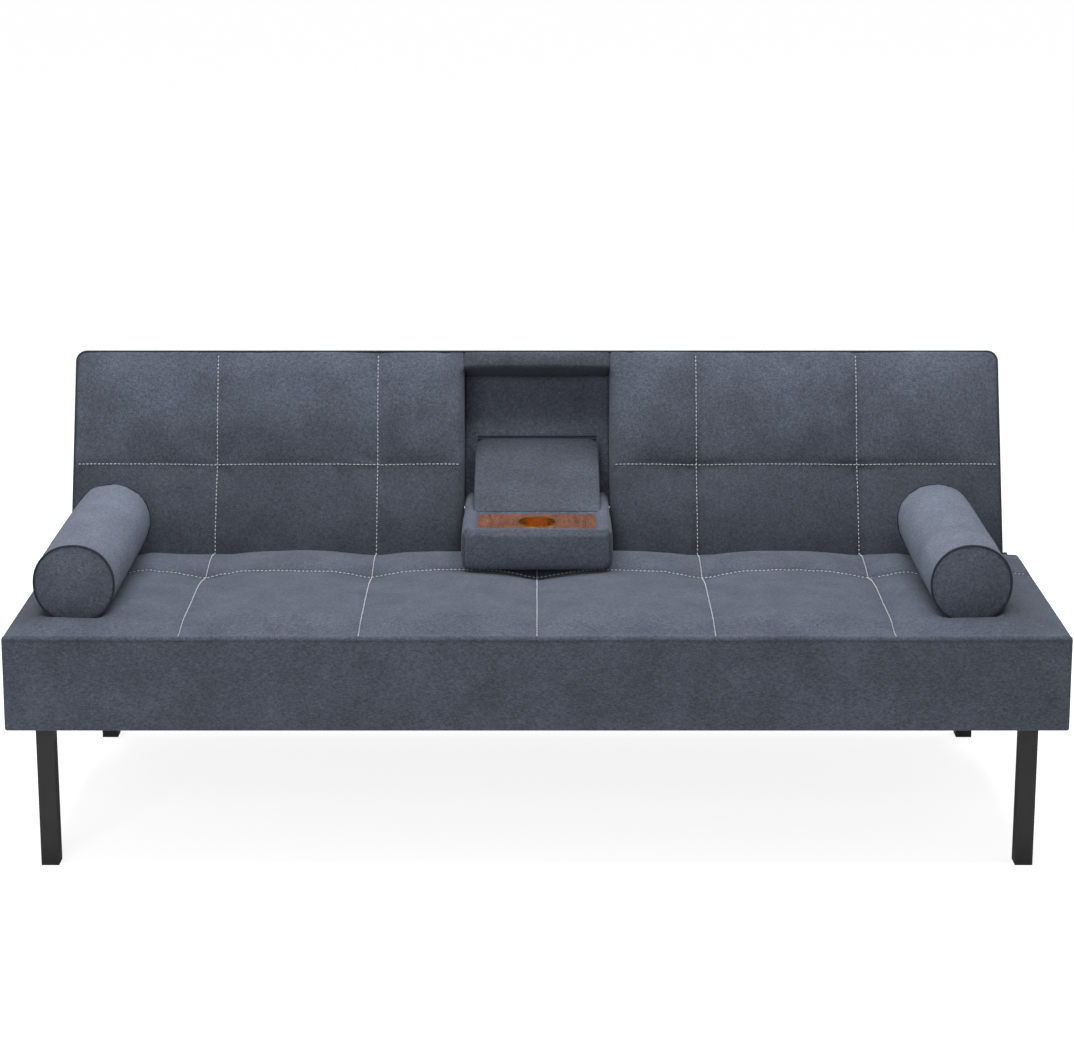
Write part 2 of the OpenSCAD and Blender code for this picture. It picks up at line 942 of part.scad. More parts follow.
module console_pad() color(fabric_colour) {
    on_pivot()
        difference() {
            console_body(0);
            console_body(pad_t);
            bar(-console_x + rim_w, console_x - rim_w, tray_front, tray_front + tray_d,
                tray_z, console_top + eps);
            both_sides()
                pin(inner_x - panel_t, console_x + eps, console_pin_r + pad_play);
        }
}

module console_base() color(timber_colour) {
    on_pivot()
        intersection() {
            console_body(pad_t);
            bar(-console_x, console_x, -console_l, console_tail, base_z, base_z + panel_t);
        }
}

module console_boards() color(timber_colour) {
    rear = console_tail - pad_t;
    on_pivot()
        intersection() {
            console_body(pad_t);
            difference() {
                union() {
                    both_sides()
                        bar(inner_x - panel_t, inner_x,
                            -console_l + pad_t + panel_t + glue_gap,
                            rear - panel_t - glue_gap, base_z + panel_t, tray_z);
                    bar(-console_x, console_x, -console_l, -console_l + pad_t + panel_t,
                        base_z + panel_t, tray_z);
                    bar(-console_x, console_x, rear - panel_t, rear, base_z + panel_t, tray_z);
                }
                both_sides()
                    pin(inner_x - panel_t - eps, inner_x + eps, console_pin_r);
                both_sides()
                    pin(inner_x - panel_t - 4, inner_x - panel_t, console_head_r);
            }
        }
}

module console_deck() color(timber_colour) {
    on_pivot()
        intersection() {
            console_body(pad_t);
            bar(-console_x, console_x, tray_rear, console_tail, tray_z, tray_z + panel_t);
        }
}

module console_tray() color(walnut_colour) {
    on_pivot()
        difference() {
            intersection() {
                console_body(pad_t);
                bar(-console_x, console_x, -console_l, tray_rear, tray_z, tray_z + panel_t);
            }
            translate([0, cup_y, tray_z - eps])
                cylinder(h = panel_t + 2 * eps, r = cup_r + cup_wall, $fn = 96);
        }
}

cup_top = tray_z + panel_t + cup_wall;
cup_floor = base_z + panel_t + cup_wall;
cup_lip = 5;

module cup_liner() color(brass_colour) {
    on_pivot()
        translate([0, cup_y, 0])
            difference() {
                union() {
                    translate([0, 0, cup_floor - cup_wall])
                        cylinder(h = cup_top - cup_floor + cup_wall, r = cup_r + cup_wall,
                                 $fn = 96);
                    translate([0, 0, cup_top - cup_wall])
                        cylinder(h = cup_wall, r = cup_r + cup_lip, $fn = 96);
                }
                translate([0, 0, cup_floor])
                    cylinder(h = cup_top - cup_floor + eps, r = cup_r, $fn = 96);
            }
}

module console_pins() color(zinc_colour) {
    on_pivot()
        both_sides() {
            pin(inner_x - panel_t - eps, inner_stile_x + 2, console_pin_r);
            pin(inner_x - panel_t - 3, inner_x - panel_t, console_head_r);
        }
}

// ---- Bolsters ----

end_t = 4;

module on_seat(side) {
    translate([side * bolster_x + bolster_shift, bolster_front, seat_h + soft_gap + bolster_r])
        rotate([-90, 0, 0])
            children();
}

module bolster_cover(side) color(fabric_colour) {
    on_seat(side)
        translate([0, 0, end_t])
            difference() {
                cylinder(h = bolster_l - 2 * end_t, r = bolster_r, $fn = 96);
                translate([0, 0, -eps])
                    cylinder(h = bolster_l, r = bolster_r - end_t, $fn = 96);
            }
}

module bolster_ends(side) color(fabric_colour) {
    on_seat(side)
        for (z = [0, bolster_l - end_t])
            translate([0, 0, z])
                cylinder(h = end_t, r = bolster_r - end_t, $fn = 96);
}

module bolster_piping(side) color(piping_colour) {
    r = end_t / 2;
    on_seat(side)
        for (z = [r, bolster_l - r])
            translate([0, 0, z])
                rotate_extrude($fn = 96)
                    translate([bolster_r - r, 0])
                        circle(r, $fn = 24);
}

module bolster_filling(side) color(foam_colour) {
    on_seat(side)
        translate([0, 0, end_t])
            cylinder(h = bolster_l - 2 * end_t, r = bolster_r - end_t, $fn = 96);
}

in_frame() {
    side_rails();
    cross_rails();
    legs();
    leg_plates();
    leg_bolts();
    leg_glides();
    rail_caps();
    hinge_brackets();
    hinge_pins();
    ratchet_wheels();
    seat_boards();
    corner_blocks();
    battens();
    batten_bolts();
    seat_webbing();
    webbing_staples();
    seat_foam();
    seat_cover();
    dust_cover();
    back_bumpers();
    back_stiles();
    back_top_rail();
    back_bottom_rail();
    back_webbing();
    hinge_arms();
    back_screws();
    ratchet_pawls();
    pawl_rivets();
    pawl_springs();
    wing_foam_left();
    wing_foam_right();
    wing_cover_left();
    wing_cover_right();
    top_strip_cover();
    top_strip_foam();
    lower_band();
    recess_panel();
    recess_lining();
    panel_cleats();
    rear_panel();
    back_piping();
    console_brackets();
    console_flap();
    console_base();
    console_boards();
    console_deck();
    console_pad();
    console_tray();
    cup_liner();
    console_pins();
    bolster_cover(-1);  // bolster_left_cover
    bolster_ends(-1);  // bolster_left_ends
    bolster_piping(-1);  // bolster_left_piping
    bolster_filling(-1);  // bolster_left_filling
    bolster_cover(1);  // bolster_right_cover
    bolster_ends(1);  // bolster_right_ends
    bolster_piping(1);  // bolster_right_piping
    bolster_filling(1);  // bolster_right_filling
}
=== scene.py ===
"""Looks of a click-clack futon sofa bed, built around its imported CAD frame.

Metres, Z up, front towards -Y. The backrest's pieces are shaped in its own axes, then placed by BACK.
"""
import json
import math
import random

import bpy
import numpy as np
from mathutils import Matrix, Vector, noise
from mathutils.bvhtree import BVHTree


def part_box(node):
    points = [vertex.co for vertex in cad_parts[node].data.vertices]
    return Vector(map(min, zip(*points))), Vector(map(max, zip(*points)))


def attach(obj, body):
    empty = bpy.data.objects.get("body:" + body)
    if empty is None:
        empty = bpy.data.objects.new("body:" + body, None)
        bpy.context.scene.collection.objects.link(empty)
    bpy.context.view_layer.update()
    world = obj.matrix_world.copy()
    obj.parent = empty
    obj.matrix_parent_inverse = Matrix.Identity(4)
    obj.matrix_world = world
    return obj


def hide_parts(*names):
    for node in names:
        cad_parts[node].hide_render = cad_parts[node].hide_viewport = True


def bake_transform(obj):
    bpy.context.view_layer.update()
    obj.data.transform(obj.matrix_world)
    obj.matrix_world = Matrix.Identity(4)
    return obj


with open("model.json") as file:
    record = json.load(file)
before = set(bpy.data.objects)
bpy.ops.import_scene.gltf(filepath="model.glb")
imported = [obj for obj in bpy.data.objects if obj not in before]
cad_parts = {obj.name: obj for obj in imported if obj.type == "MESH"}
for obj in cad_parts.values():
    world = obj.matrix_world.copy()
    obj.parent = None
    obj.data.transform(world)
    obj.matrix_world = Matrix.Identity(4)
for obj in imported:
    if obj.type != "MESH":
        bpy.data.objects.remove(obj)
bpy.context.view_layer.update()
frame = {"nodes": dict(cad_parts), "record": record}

MM = 0.001

# ---- Places taken from the frame ----


def joint(name):
    return next(j for j in frame["record"]["behaviour"]["joints"] if j["name"] == name)


def node_points(name, inverse=Matrix.Identity(4)):
    """The vertices of a CAD node, in the axes that inverse leads to."""
    thing = frame["nodes"][name]
    move = inverse @ thing.matrix_world
    return np.array([move @ v.co for v in thing.data.vertices])


def local_box(name, inverse):
    points = node_points(name, inverse)
    return points.min(axis=0), points.max(axis=0)


seat_lo, seat_hi = (np.array(corner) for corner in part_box("seat_cover"))
SEAT_FRONT, SEAT_REAR = seat_lo[1], seat_hi[1]
SEAT_TOP, SEAT_BOTTOM = seat_hi[2], seat_lo[2]
SEAT_X = seat_hi[0]

recline = math.radians(90 - joint("back_recline")["range_deg"][1])
BACK = Matrix.Translation(joint("back_recline")["pos_m"]) @ Matrix.Rotation(-recline, 4, "X")
TO_BACK = BACK.inverted()
PIVOT = Vector(joint("console_fold")["pos_m"])
TO_PIVOT = Matrix.Translation(-PIVOT)
wing_lo, wing_hi = local_box("wing_cover_right", TO_BACK)
strip_lo, strip_hi = local_box("top_strip_cover", TO_BACK)
rear_lo, rear_hi = local_box("rear_panel", TO_BACK)
lining_lo, lining_hi = local_box("recess_lining", TO_BACK)
pad_lo, pad_hi = local_box("console_pad", TO_PIVOT)
OPENING_X = wing_lo[0]

# Seams, as distances from the middle, from the seat's front and up the backrest's slope
SEAM_XS = [0.297, 0.596]
SEAT_SEAM_Y = SEAT_FRONT + 0.375
BACK_SEAM_Z = 0.180

FABRIC = (0.088, 0.100, 0.130)
THREAD = (0.56, 0.58, 0.62)


# ---- Mesh building ----

TUBE_SIDES = 10
RING_TUBE_SIDES = 8


def smooth(t):
    t = np.clip(t, 0, 1)
    return t * t * (3 - 2 * t)


def share(values, low, high):
    """How far each value is from low to high, as 0 to 1."""
    return (values - low) / (high - low)


def bell(away, width):
    """1 on a line, falling away on both sides of it."""
    return np.exp(-(away / width) ** 2)


def stops(low, high, cell, keep=(), edge=0.0, steps=5):
    """Grid lines from low to high: the kept ones exactly, close together within edge of each end."""
    ends = [low, high]
    if edge:
        ends = [low, low + edge, high - edge, high]
    marks = sorted(set(ends) | {k for k in keep if low < k < high})
    lines = [marks[0]]
    for a, b in zip(marks, marks[1:]):
        near_edge = edge and (b <= low + edge + 1e-9 or a >= high - edge - 1e-9)
        count = steps if near_edge else max(1, round((b - a) / cell))
        lines += [a + (b - a) * i / count for i in range(1, count + 1)]
    return np.array(lines)


def box_grid(xs, ys, zs):
    """A closed box whose six sides are grids: its points, and its quads facing outwards."""
    shape = (len(xs), len(ys), len(zs))
    shell = np.zeros(shape, bool)
    for axis in range(3):
        for end in (0, -1):
            side = [slice(None)] * 3
            side[axis] = end
            shell[tuple(side)] = True
    ids = np.full(shape, -1)
    ids[shell] = np.arange(shell.sum())
    i, j, k = np.nonzero(shell)
    points = np.stack([xs[i], ys[j], zs[k]], axis=1)
    quads = []
    for axis in range(3):
        for end in (0, -1):
            side = [slice(None)] * 3
            side[axis] = end
            sheet = ids[tuple(side)]
            ring = [sheet[:-1, :-1], sheet[1:, :-1], sheet[1:, 1:], sheet[:-1, 1:]]
            outward = (end == -1) != (axis == 1)
            if not outward:
                ring.reverse()
            quads.append(np.stack([c.ravel() for c in ring], axis=1))
    return points, np.concatenate(quads)


def round_box(points, low, high, radius):
    """Rounds a box's edges. radius is one number, or one for each point."""
    radius = np.broadcast_to(radius, len(points))[:, None]
    inner = np.clip(points, low + radius, high - radius)
    away = points - inner
    length = np.linalg.norm(away, axis=1, keepdims=True)
    return np.where(length > 1e-9, inner + away / np.maximum(length, 1e-9) * radius, points)


def round_outline(points, across, up, edge, top, radius):
    """Rounds the outline's top corners, on both sides: across and up are the axes of the outline."""
    far = np.abs(points[:, across]) - (edge - radius)
    high = points[:, up] - (top - radius)
    corner = (far > 0) & (high > 0)
    length = np.hypot(far, high)
    scale = np.where(corner, np.maximum(far, high) / np.maximum(length, 1e-9), 1.0)
    bent = points.copy()
    sign = np.sign(points[:, across])
    bent[:, across] = np.where(corner, sign * (edge - radius + far * scale), points[:, across])
    bent[:, up] = np.where(corner, top - radius + high * scale, points[:, up])
    return bent


def sweep(name, centres, axes, radius, material, sides, closed):
    """A round cord through centres; axes are the two directions across it at each of them."""
    count = len(centres)
    points = []
    for centre, (side, up) in zip(centres, axes):
        for k in range(sides):
            angle = 2 * math.pi * k / sides
            points.append(centre + (side * math.cos(angle) + up * math.sin(angle)) * radius)
    faces = []
    for i in range(count if closed else count - 1):
        a, b = i * sides, (i + 1) % count * sides
        for k in range(sides):
            m = (k + 1) % sides
            faces.append((a + k, b + k, b + m, a + m) if closed else (a + k, a + m, b + m, b + k))
    if not closed:
        faces.append(tuple(reversed(range(sides))))
        faces.append(tuple(range((count - 1) * sides, count * sides)))
    return new_object(name, points, faces, material)


def tube(name, path, radius, material):
    """A cord along an open path that lies in one plane or nearly."""
    path = [Vector(p) for p in path]
    axes = []
    for i, centre in enumerate(path):
        before = path[i - 1] if i else centre
        after = path[i + 1] if i < len(path) - 1 else centre
        along = (after - before).normalized()
        side = along.cross(Vector((0, 1, 0))).normalized()
        axes.append((side, side.cross(along)))
    return sweep(name, path, axes, radius, material, TUBE_SIDES, False)


def ring_tube(name, ring, radius, material):
    """A closed piping ring in a plane across Y."""
    axes = [(Vector((centre.x, 0, centre.z)).normalized(), Vector((0, 1, 0))) for centre in ring]
    return sweep(name, ring, axes, radius, material, RING_TUBE_SIDES, True)


def new_object(name, points, faces, material):
    mesh = bpy.data.meshes.new(name)
    mesh.from_pydata([tuple(p) for p in points], [], [tuple(int(i) for i in f) for f in faces])
    mesh.update()
    thing = bpy.data.objects.new(name, mesh)
    bpy.context.collection.objects.link(thing)
    for polygon in mesh.polygons:
        polygon.use_smooth = True
    mesh.materials.append(material)
    set_painted_light_and_shade(thing, np.ones(len(mesh.vertices)))
    return thing


def set_painted_light_and_shade(thing, values):
    """Painted light and shade at each vertex, multiplied into the fabric's colour: 1 is even, less for
    painted shade, more for painted light.
    """
    layer = thing.data.attributes.get("painted_light_and_shade") or thing.data.attributes.new("painted_light_and_shade", "FLOAT", "POINT")
    layer.data.foreach_set("value", np.asarray(values, np.float32))


def place(thing, matrix):
    thing.data.transform(matrix)
    thing.data.update()
    return thing


def wobble(points, scale, amount, seed):
    """A smooth random height for each point."""
    offset = Vector((seed * 7.31, seed * 3.17, seed * 5.53))
    return np.array([noise.noise(Vector(p) * scale + offset) for p in points]) * amount


def rng_phase(seed, count):
    chooser = random.Random(seed)
    return [chooser.uniform(0, 2 * math.pi) for _ in range(count)]


# ---- Materials ----


def new_material(name):
    """A material that is one Principled shader, the shader, and the nodes to feed it with."""
    material = bpy.data.materials.new(name)
    n = Nodes(material)
    shader = n.add("ShaderNodeBsdfPrincipled")
    n.link(shader.outputs["BSDF"], n.add("ShaderNodeOutputMaterial").inputs["Surface"])
    return material, shader, n


def set_sockets(node, values):
    for name, value in values.items():
        node.inputs[name].default_value = value


class Nodes:
    """Short ways to add and join shader nodes in one material or world, which starts empty."""

    def __init__(self, owner):
        owner.use_nodes = True
        self.tree = owner.node_tree
        self.tree.nodes.clear()
        self.found_place = None

    @property
    def place(self):
        if self.found_place is None:
            self.found_place = self.add("ShaderNodeTexCoord").outputs["Object"]
        return self.found_place

    def add(self, kind, **settings):
        node = self.tree.nodes.new(kind)
        for key, value in settings.items():
            setattr(node, key, value)
        return node

    def link(self, source, target):
        self.tree.links.new(source, target)

    def scaled(self, scale):
        mapping = self.add("ShaderNodeMapping")
        mapping.inputs["Scale"].default_value = scale
        self.link(self.place, mapping.inputs["Vector"])
        return mapping.outputs["Vector"]

    def noise(self, scale, detail=3.0, roughness=0.55, vector=None, distortion=0.0):
        node = self.add("ShaderNodeTexNoise")
        set_sockets(node, {"Scale": scale, "Detail": detail, "Roughness": roughness,
                           "Distortion": distortion})
        self.link(vector if vector is not None else self.place, node.inputs["Vector"])
        return node.outputs["Fac"]

    def ramp(self, source, low, high, low_to=0.0, high_to=1.0):
        node = self.add("ShaderNodeMapRange")
        set_sockets(node, {"From Min": low, "From Max": high, "To Min": low_to, "To Max": high_to})
        self.link(source, node.inputs["Value"])
        return node.outputs["Result"]

    def math(self, operation, a, b):
        node = self.add("ShaderNodeMath", operation=operation)
        for socket, value in zip(node.inputs, (a, b)):
            if isinstance(value, (int, float)):
                socket.default_value = value
            else:
                self.link(value, socket)
        return node.outputs[0]

    def mix(self, factor, a, b):
        node = self.add("ShaderNodeMix", data_type="RGBA")
        self.link(factor, node.inputs["Factor"])
        for socket, value in ((node.inputs[6], a), (node.inputs[7], b)):
            if isinstance(value, tuple):
                socket.default_value = (*value, 1.0)
            else:
                self.link(value, socket)
        return node.outputs[2]

    def bump(self, height, distance, strength=1.0, normal=None):
        node = self.add("ShaderNodeBump")
        set_sockets(node, {"Distance": distance, "Strength": strength})
        self.link(height, node.inputs["Height"])
        if normal is not None:
            self.link(normal, node.inputs["Normal"])
        return node.outputs["Normal"]


def tint(colour, factor):
    return tuple(c * factor for c in colour)


def fabric_material(name, colour, mottle=1.0):
    """Brushed chenille: short crossed fibres, soft mottling, a pale sheen from the pile, and the
    painted light and shade of a vertex attribute.
    """
    material, shader, n = new_material(name)
    across = n.noise(1.0, 3.0, 0.6, n.scaled((150, 900, 900)))
    along = n.noise(1.0, 3.0, 0.6, n.scaled((900, 220, 220)))
    fibres = n.math("ADD", across, along)
    grain = n.noise(1400.0, 2.0, 0.6)
    blotch = n.noise(190.0, 5.0, 0.7)
    cloud = n.noise(14.0, 3.0, 0.55)
    fibre_tone = n.ramp(fibres, 0.78, 1.22, 1 - 0.34 * mottle, 1 + 0.34 * mottle)
    blotch_tone = n.ramp(blotch, 0.25, 0.75, 1 - 0.34 * mottle, 1 + 0.34 * mottle)
    cloud_tone = n.ramp(cloud, 0.3, 0.7, 0.86, 1.14)
    painted_light_and_shade = n.add("ShaderNodeAttribute", attribute_name="painted_light_and_shade").outputs["Fac"]
    tone = n.math("MULTIPLY", n.math("MULTIPLY", fibre_tone, blotch_tone), cloud_tone)
    # Painted light and shade: a vertex attribute darkens creases, hollows and faces turned from the
    # light, and lightens the console's front.
    tone = n.math("MULTIPLY", tone, painted_light_and_shade)
    shade = n.ramp(tone, 0.2, 1.8)
    n.link(n.mix(shade, tint(colour, 0.2), tint(colour, 1.8)), shader.inputs["Base Color"])
    fine = n.bump(n.math("ADD", fibres, grain), 0.0006, 0.75)
    n.link(n.bump(blotch, 0.0012, 0.5, fine), shader.inputs["Normal"])
    n.link(n.ramp(blotch, 0.3, 0.7, 0.86, 0.98), shader.inputs["Roughness"])
    set_sockets(shader, {"Specular IOR Level": 0.18, "Sheen Weight": 0.12, "Sheen Roughness": 0.45,
                         "Sheen Tint": (0.72, 0.80, 0.95, 1.0)})
    return material


def thread_material(name, colour):
    material, shader, n = new_material(name)
    twist = n.noise(900.0, 2.0, 0.5)
    n.link(n.mix(n.ramp(twist, 0.3, 0.7), tint(colour, 0.72), tint(colour, 1.15)),
           shader.inputs["Base Color"])
    n.link(n.bump(twist, 0.0003, 0.6), shader.inputs["Normal"])
    set_sockets(shader, {"Roughness": 0.7, "Specular IOR Level": 0.3})
    return material


def painted_steel_material(name, colour):
    """Matte powder coat with a fine orange peel and slightly worn, shinier patches."""
    material, shader, n = new_material(name)
    peel = n.noise(900.0, 2.0, 0.5)
    wear = n.noise(25.0, 4.0, 0.6)
    n.link(n.mix(n.ramp(wear, 0.35, 0.7), tint(colour, 0.85), tint(colour, 1.35)),
           shader.inputs["Base Color"])
    n.link(n.ramp(wear, 0.3, 0.7, 0.42, 0.58), shader.inputs["Roughness"])
    n.link(n.bump(peel, 0.0002, 0.5), shader.inputs["Normal"])
    shader.inputs["Specular IOR Level"].default_value = 0.45
    return material


def bare_metal_material(name, colour, roughness):
    material, shader, n = new_material(name)
    streak = n.noise(1.0, 3.0, 0.6, n.scaled((900, 60, 900)))
    n.link(n.mix(n.ramp(streak, 0.3, 0.7), tint(colour, 0.8), tint(colour, 1.1)),
           shader.inputs["Base Color"])
    n.link(n.ramp(streak, 0.3, 0.7, roughness * 0.8, roughness * 1.3),
           shader.inputs["Roughness"])
    n.link(n.bump(streak, 0.0001, 0.4), shader.inputs["Normal"])
    shader.inputs["Metallic"].default_value = 1.0
    return material


def wood_material(name, light, dark, gloss, along):
    """Straight grain with pores; along is the scale of the grain on each axis."""
    material, shader, n = new_material(name)
    figure = n.noise(1.0, 4.0, 0.6, n.scaled(along), 0.6)
    pores = n.noise(1.0, 2.0, 0.5, n.scaled(tuple(6 * a for a in along)))
    cloud = n.noise(18.0, 2.0, 0.5)
    tone = n.math("ADD", n.math("MULTIPLY", figure, 0.75), n.math("MULTIPLY", cloud, 0.25))
    base = n.mix(n.ramp(tone, 0.34, 0.66), dark, light)
    dots = n.ramp(pores, 0.36, 0.46)
    n.link(n.mix(dots, tint(dark, 0.55), base), shader.inputs["Base Color"])
    n.link(n.ramp(pores, 0.35, 0.6, gloss + 0.15, gloss), shader.inputs["Roughness"])
    n.link(n.bump(pores, 0.0002, 0.5), shader.inputs["Normal"])
    set_sockets(shader, {"Coat Weight": 0.15, "Coat Roughness": 0.3})
    return material


def plain_material(name, colour, roughness, grain_scale):
    """Moulded plastic, rubber or foam: an even colour broken by a fine grain."""
    material, shader, n = new_material(name)
    grain = n.noise(grain_scale, 3.0, 0.6)
    n.link(n.mix(n.ramp(grain, 0.3, 0.7), tint(colour, 0.82), tint(colour, 1.15)),
           shader.inputs["Base Color"])
    n.link(n.bump(grain, 0.0003, 0.5), shader.inputs["Normal"])
    shader.inputs["Roughness"].default_value = roughness
    return material


MATERIALS = {
    "fabric": fabric_material("brushed_fabric", FABRIC),
    # Painted light: the bolsters are the main fabric painted 1.55 times lighter, standing in for the
    # bright light on their tops.
    "bolster": fabric_material("bolster_fabric", tint(FABRIC, 1.55)),
    # Painted light: the recess lining, lower band and rail wrap are the main fabric painted 1.25 times
    # lighter, standing in for light in the recess.
    "lining": fabric_material("lining_fabric", tint(FABRIC, 1.25)),
    "piping": fabric_material("piping_fabric", tint(FABRIC, 0.42), 0.6),
    "thread": thread_material("stitch_thread", THREAD),
    "steel": painted_steel_material("black_powder_coat", (0.018, 0.018, 0.0185)),
    "zinc": bare_metal_material("zinc_plate", (0.55, 0.56, 0.58), 0.35),
    "brass": bare_metal_material("polished_brass", (0.93, 0.60, 0.24), 0.22),
    "walnut": wood_material("walnut_tray", (0.27, 0.10, 0.048), (0.085, 0.03, 0.016), 0.35,
                            (160, 14, 60)),
    "timber": wood_material("frame_timber", (0.58, 0.42, 0.25), (0.38, 0.24, 0.13), 0.6,
                            (12, 120, 120)),
    "plastic": plain_material("black_plastic", (0.02, 0.02, 0.021), 0.5, 700.0),
    "rubber": plain_material("black_rubber", (0.022, 0.022, 0.022), 0.75, 500.0),
    "foam": plain_material("seat_foam", (0.68, 0.60, 0.40), 0.95, 260.0),
    "webbing": plain_material("elastic_webbing", (0.05, 0.05, 0.052), 0.85, 900.0),
    "dust": plain_material("dust_cloth", (0.022, 0.022, 0.024), 0.95, 1200.0),
}

CAD_FINISH = {
    "steel_frame": "steel", "zinc_hardware": "zinc", "seat_fabric": "fabric",
    "back_fabric": "fabric", "console_fabric": "fabric", "bolster_fabric": "bolster",
    "piping": "piping", "foam": "foam", "timber": "timber", "walnut": "walnut",
    "brass": "brass", "black_plastic": "plastic", "rubber": "rubber", "webbing": "webbing",
    "dust_cloth": "dust",
}


def finish_cad_nodes():
    slots = {s["node"]: s["material_slot"] for s in frame["record"]["subparts"]}
    for name, thing in frame["nodes"].items():
        material = MATERIALS[CAD_FINISH[slots[name]]]
        if not thing.material_slots:
            thing.data.materials.append(material)
        for held in thing.material_slots:
            held.material = material


# ---- Cloth simulation ----

PUFF_FRAMES = 8
PUFF_PRESSURE = 9.0
PUFF_QUALITY = 3
PUFF_LIMIT = 5 * MM


def inflate(thing, held, limit):
    """Puffs a closed cover as simulated cloth under inside pressure, and keeps the result as its mesh.

    held marks the sewn and backed vertices, which stay. No vertex moves further than limit.
    """
    mesh = thing.data
    start = np.array([v.co for v in mesh.vertices])
    group = thing.vertex_groups.new(name="held")
    group.add([int(i) for i in np.nonzero(held)[0]], 1.0, "REPLACE")
    cloth = thing.modifiers.new("puff", "CLOTH")
    settings = cloth.settings
    settings.quality = PUFF_QUALITY
    settings.vertex_group_mass = group.name
    settings.use_pressure = True
    settings.uniform_pressure_force = PUFF_PRESSURE
    settings.effector_weights.gravity = 0
    cloth.point_cache.frame_start, cloth.point_cache.frame_end = 1, PUFF_FRAMES
    for frame_number in range(1, PUFF_FRAMES + 1):
        bpy.context.scene.frame_set(frame_number)
    blown = thing.evaluated_get(bpy.context.evaluated_depsgraph_get()).data
    move = np.array([v.co for v in blown.vertices]) - start
    reach = np.maximum(np.linalg.norm(move, axis=1, keepdims=True), 1e-9)
    end = start + move / reach * limit * np.tanh(reach / limit)
    thing.modifiers.remove(cloth)
    thing.vertex_groups.remove(group)
    mesh.vertices.foreach_set("co", end.ravel())
    mesh.update()
    bpy.context.scene.frame_set(1)
    return thing


# ---- Quilting ----


def pillow(t, power):
    """A rise from 0 at both ends of a panel to 1 in its middle."""
    return 1 - np.abs(2 * t - 1) ** power


def panel_rise(values, marks, power, open_low, open_high):
    """How far each value is up the pillow between its two seams. An open end has no seam."""
    values = np.clip(values, marks[0], marks[-1])
    cell = np.clip(np.searchsorted(marks, values, side="right") - 1, 0, len(marks) - 2)
    start, end = np.take(marks, cell), np.take(marks, cell + 1)
    t = (values - start) / (end - start)
    if open_low:
        t = np.where(cell == 0, 0.5 + t / 2, t)
    if open_high:
        t = np.where(cell == len(marks) - 2, t / 2, t)
    return pillow(t, power)


def tuft_pull(x, y, tufts, depth, reach, seed):
    """A dimple at each tuft, with short creases that run out from it."""
    pull = np.zeros(len(x))
    for number, (tx, ty) in enumerate(tufts):
        dx, dy = x - tx, y - ty
        away = np.hypot(dx, dy)
        angle = np.arctan2(dy, dx)
        a, b = rng_phase(seed + number, 2)
        star = np.cos(5 * angle + a) * 0.6 + np.cos(8 * angle + b) * 0.4
        near = smooth(away / (0.25 * reach)) * np.exp(-away / (0.75 * reach))
        pull -= depth * np.exp(-(away / reach) ** 1.5) + 0.16 * depth * star * near
    return pull


def seam_pucker(along, away, seed, height, wave=0.016, reach=0.014):
    """Small ripples across a stitched seam, dying out on both sides of it."""
    ripple = np.array([noise.noise(Vector((a / wave, seed * 3.7, 0.0))) for a in along])
    return height * ripple * np.exp(-(away / reach) ** 2)


SEWN = 4 * MM


def on_seams(x, along, seam_xs, seam_along):
    """True on a panel's stitched lines, which are held down while it puffs."""
    return np.min([np.abs(x - sx) for sx in seam_xs] + [np.abs(along - seam_along)], axis=0) < SEWN


# ---- Stitches ----

STITCH_LENGTH = 5.2 * MM
STITCH_GAP = 2.2 * MM
STITCH_RADIUS = 0.95 * MM
STITCH_RING = 6
# Share of the length, share of the radius, and lift in radii
STITCH_SHAPE = [(0.0, 0.25, 0.0), (0.15, 0.85, 0.5), (0.5, 1.0, 0.9),
                (0.85, 0.85, 0.5), (1.0, 0.25, 0.0)]
LOOK_FROM = 0.2


def one_stitch(start, end, up, points, faces):
    """Adds one raised stitch from start to end, lying on a surface that faces up."""
    along = (end - start).normalized()
    side = along.cross(up).normalized()
    top = side.cross(along).normalized()
    first = len(points)
    for t, width, lift in STITCH_SHAPE:
        centre = start.lerp(end, t) + top * STITCH_RADIUS * lift
        for i in range(STITCH_RING):
            angle = 2 * math.pi * i / STITCH_RING
            out = side * math.cos(angle) + top * math.sin(angle)
            points.append(centre + out * STITCH_RADIUS * width)
    for ring in range(len(STITCH_SHAPE) - 1):
        for i in range(STITCH_RING):
            a = first + ring * STITCH_RING + i
            b = first + ring * STITCH_RING + (i + 1) % STITCH_RING
            faces.append((b, a, a + STITCH_RING, b + STITCH_RING))
    last = first + (len(STITCH_SHAPE) - 1) * STITCH_RING
    faces.append(tuple(first + i for i in range(STITCH_RING)))
    faces.append(tuple(last + STITCH_RING - 1 - i for i in range(STITCH_RING)))


def stitch_lines(name, thing, lines, toward):
    """Stitches lying on thing along lines, found by looking along toward at its surface."""
    tree = BVHTree.FromPolygons([v.co for v in thing.data.vertices],
                                [p.vertices for p in thing.data.polygons])
    toward = Vector(toward).normalized()
    pitch = STITCH_LENGTH + STITCH_GAP
    points, faces = [], []
    for start, end in lines:
        start, end = Vector(start), Vector(end)
        run = (end - start).length
        for i in range(int(run // pitch)):
            a = start.lerp(end, i * pitch / run)
            b = start.lerp(end, (i * pitch + STITCH_LENGTH) / run)
            hits = [tree.ray_cast(p - toward * LOOK_FROM, toward) for p in (a, b)]
            if hits[0][0] is None or hits[1][0] is None:
                continue
            one_stitch(hits[0][0], hits[1][0], hits[0][1], points, faces)
    return new_object(name, points, faces, MATERIALS["thread"])


# ---- Seat ----

# Cushions: the finely divided band at their edges, and the grid's cells on the faces and sides
EDGE = 16 * MM
CELL = 6 * MM
SIDE_CELL = 9 * MM

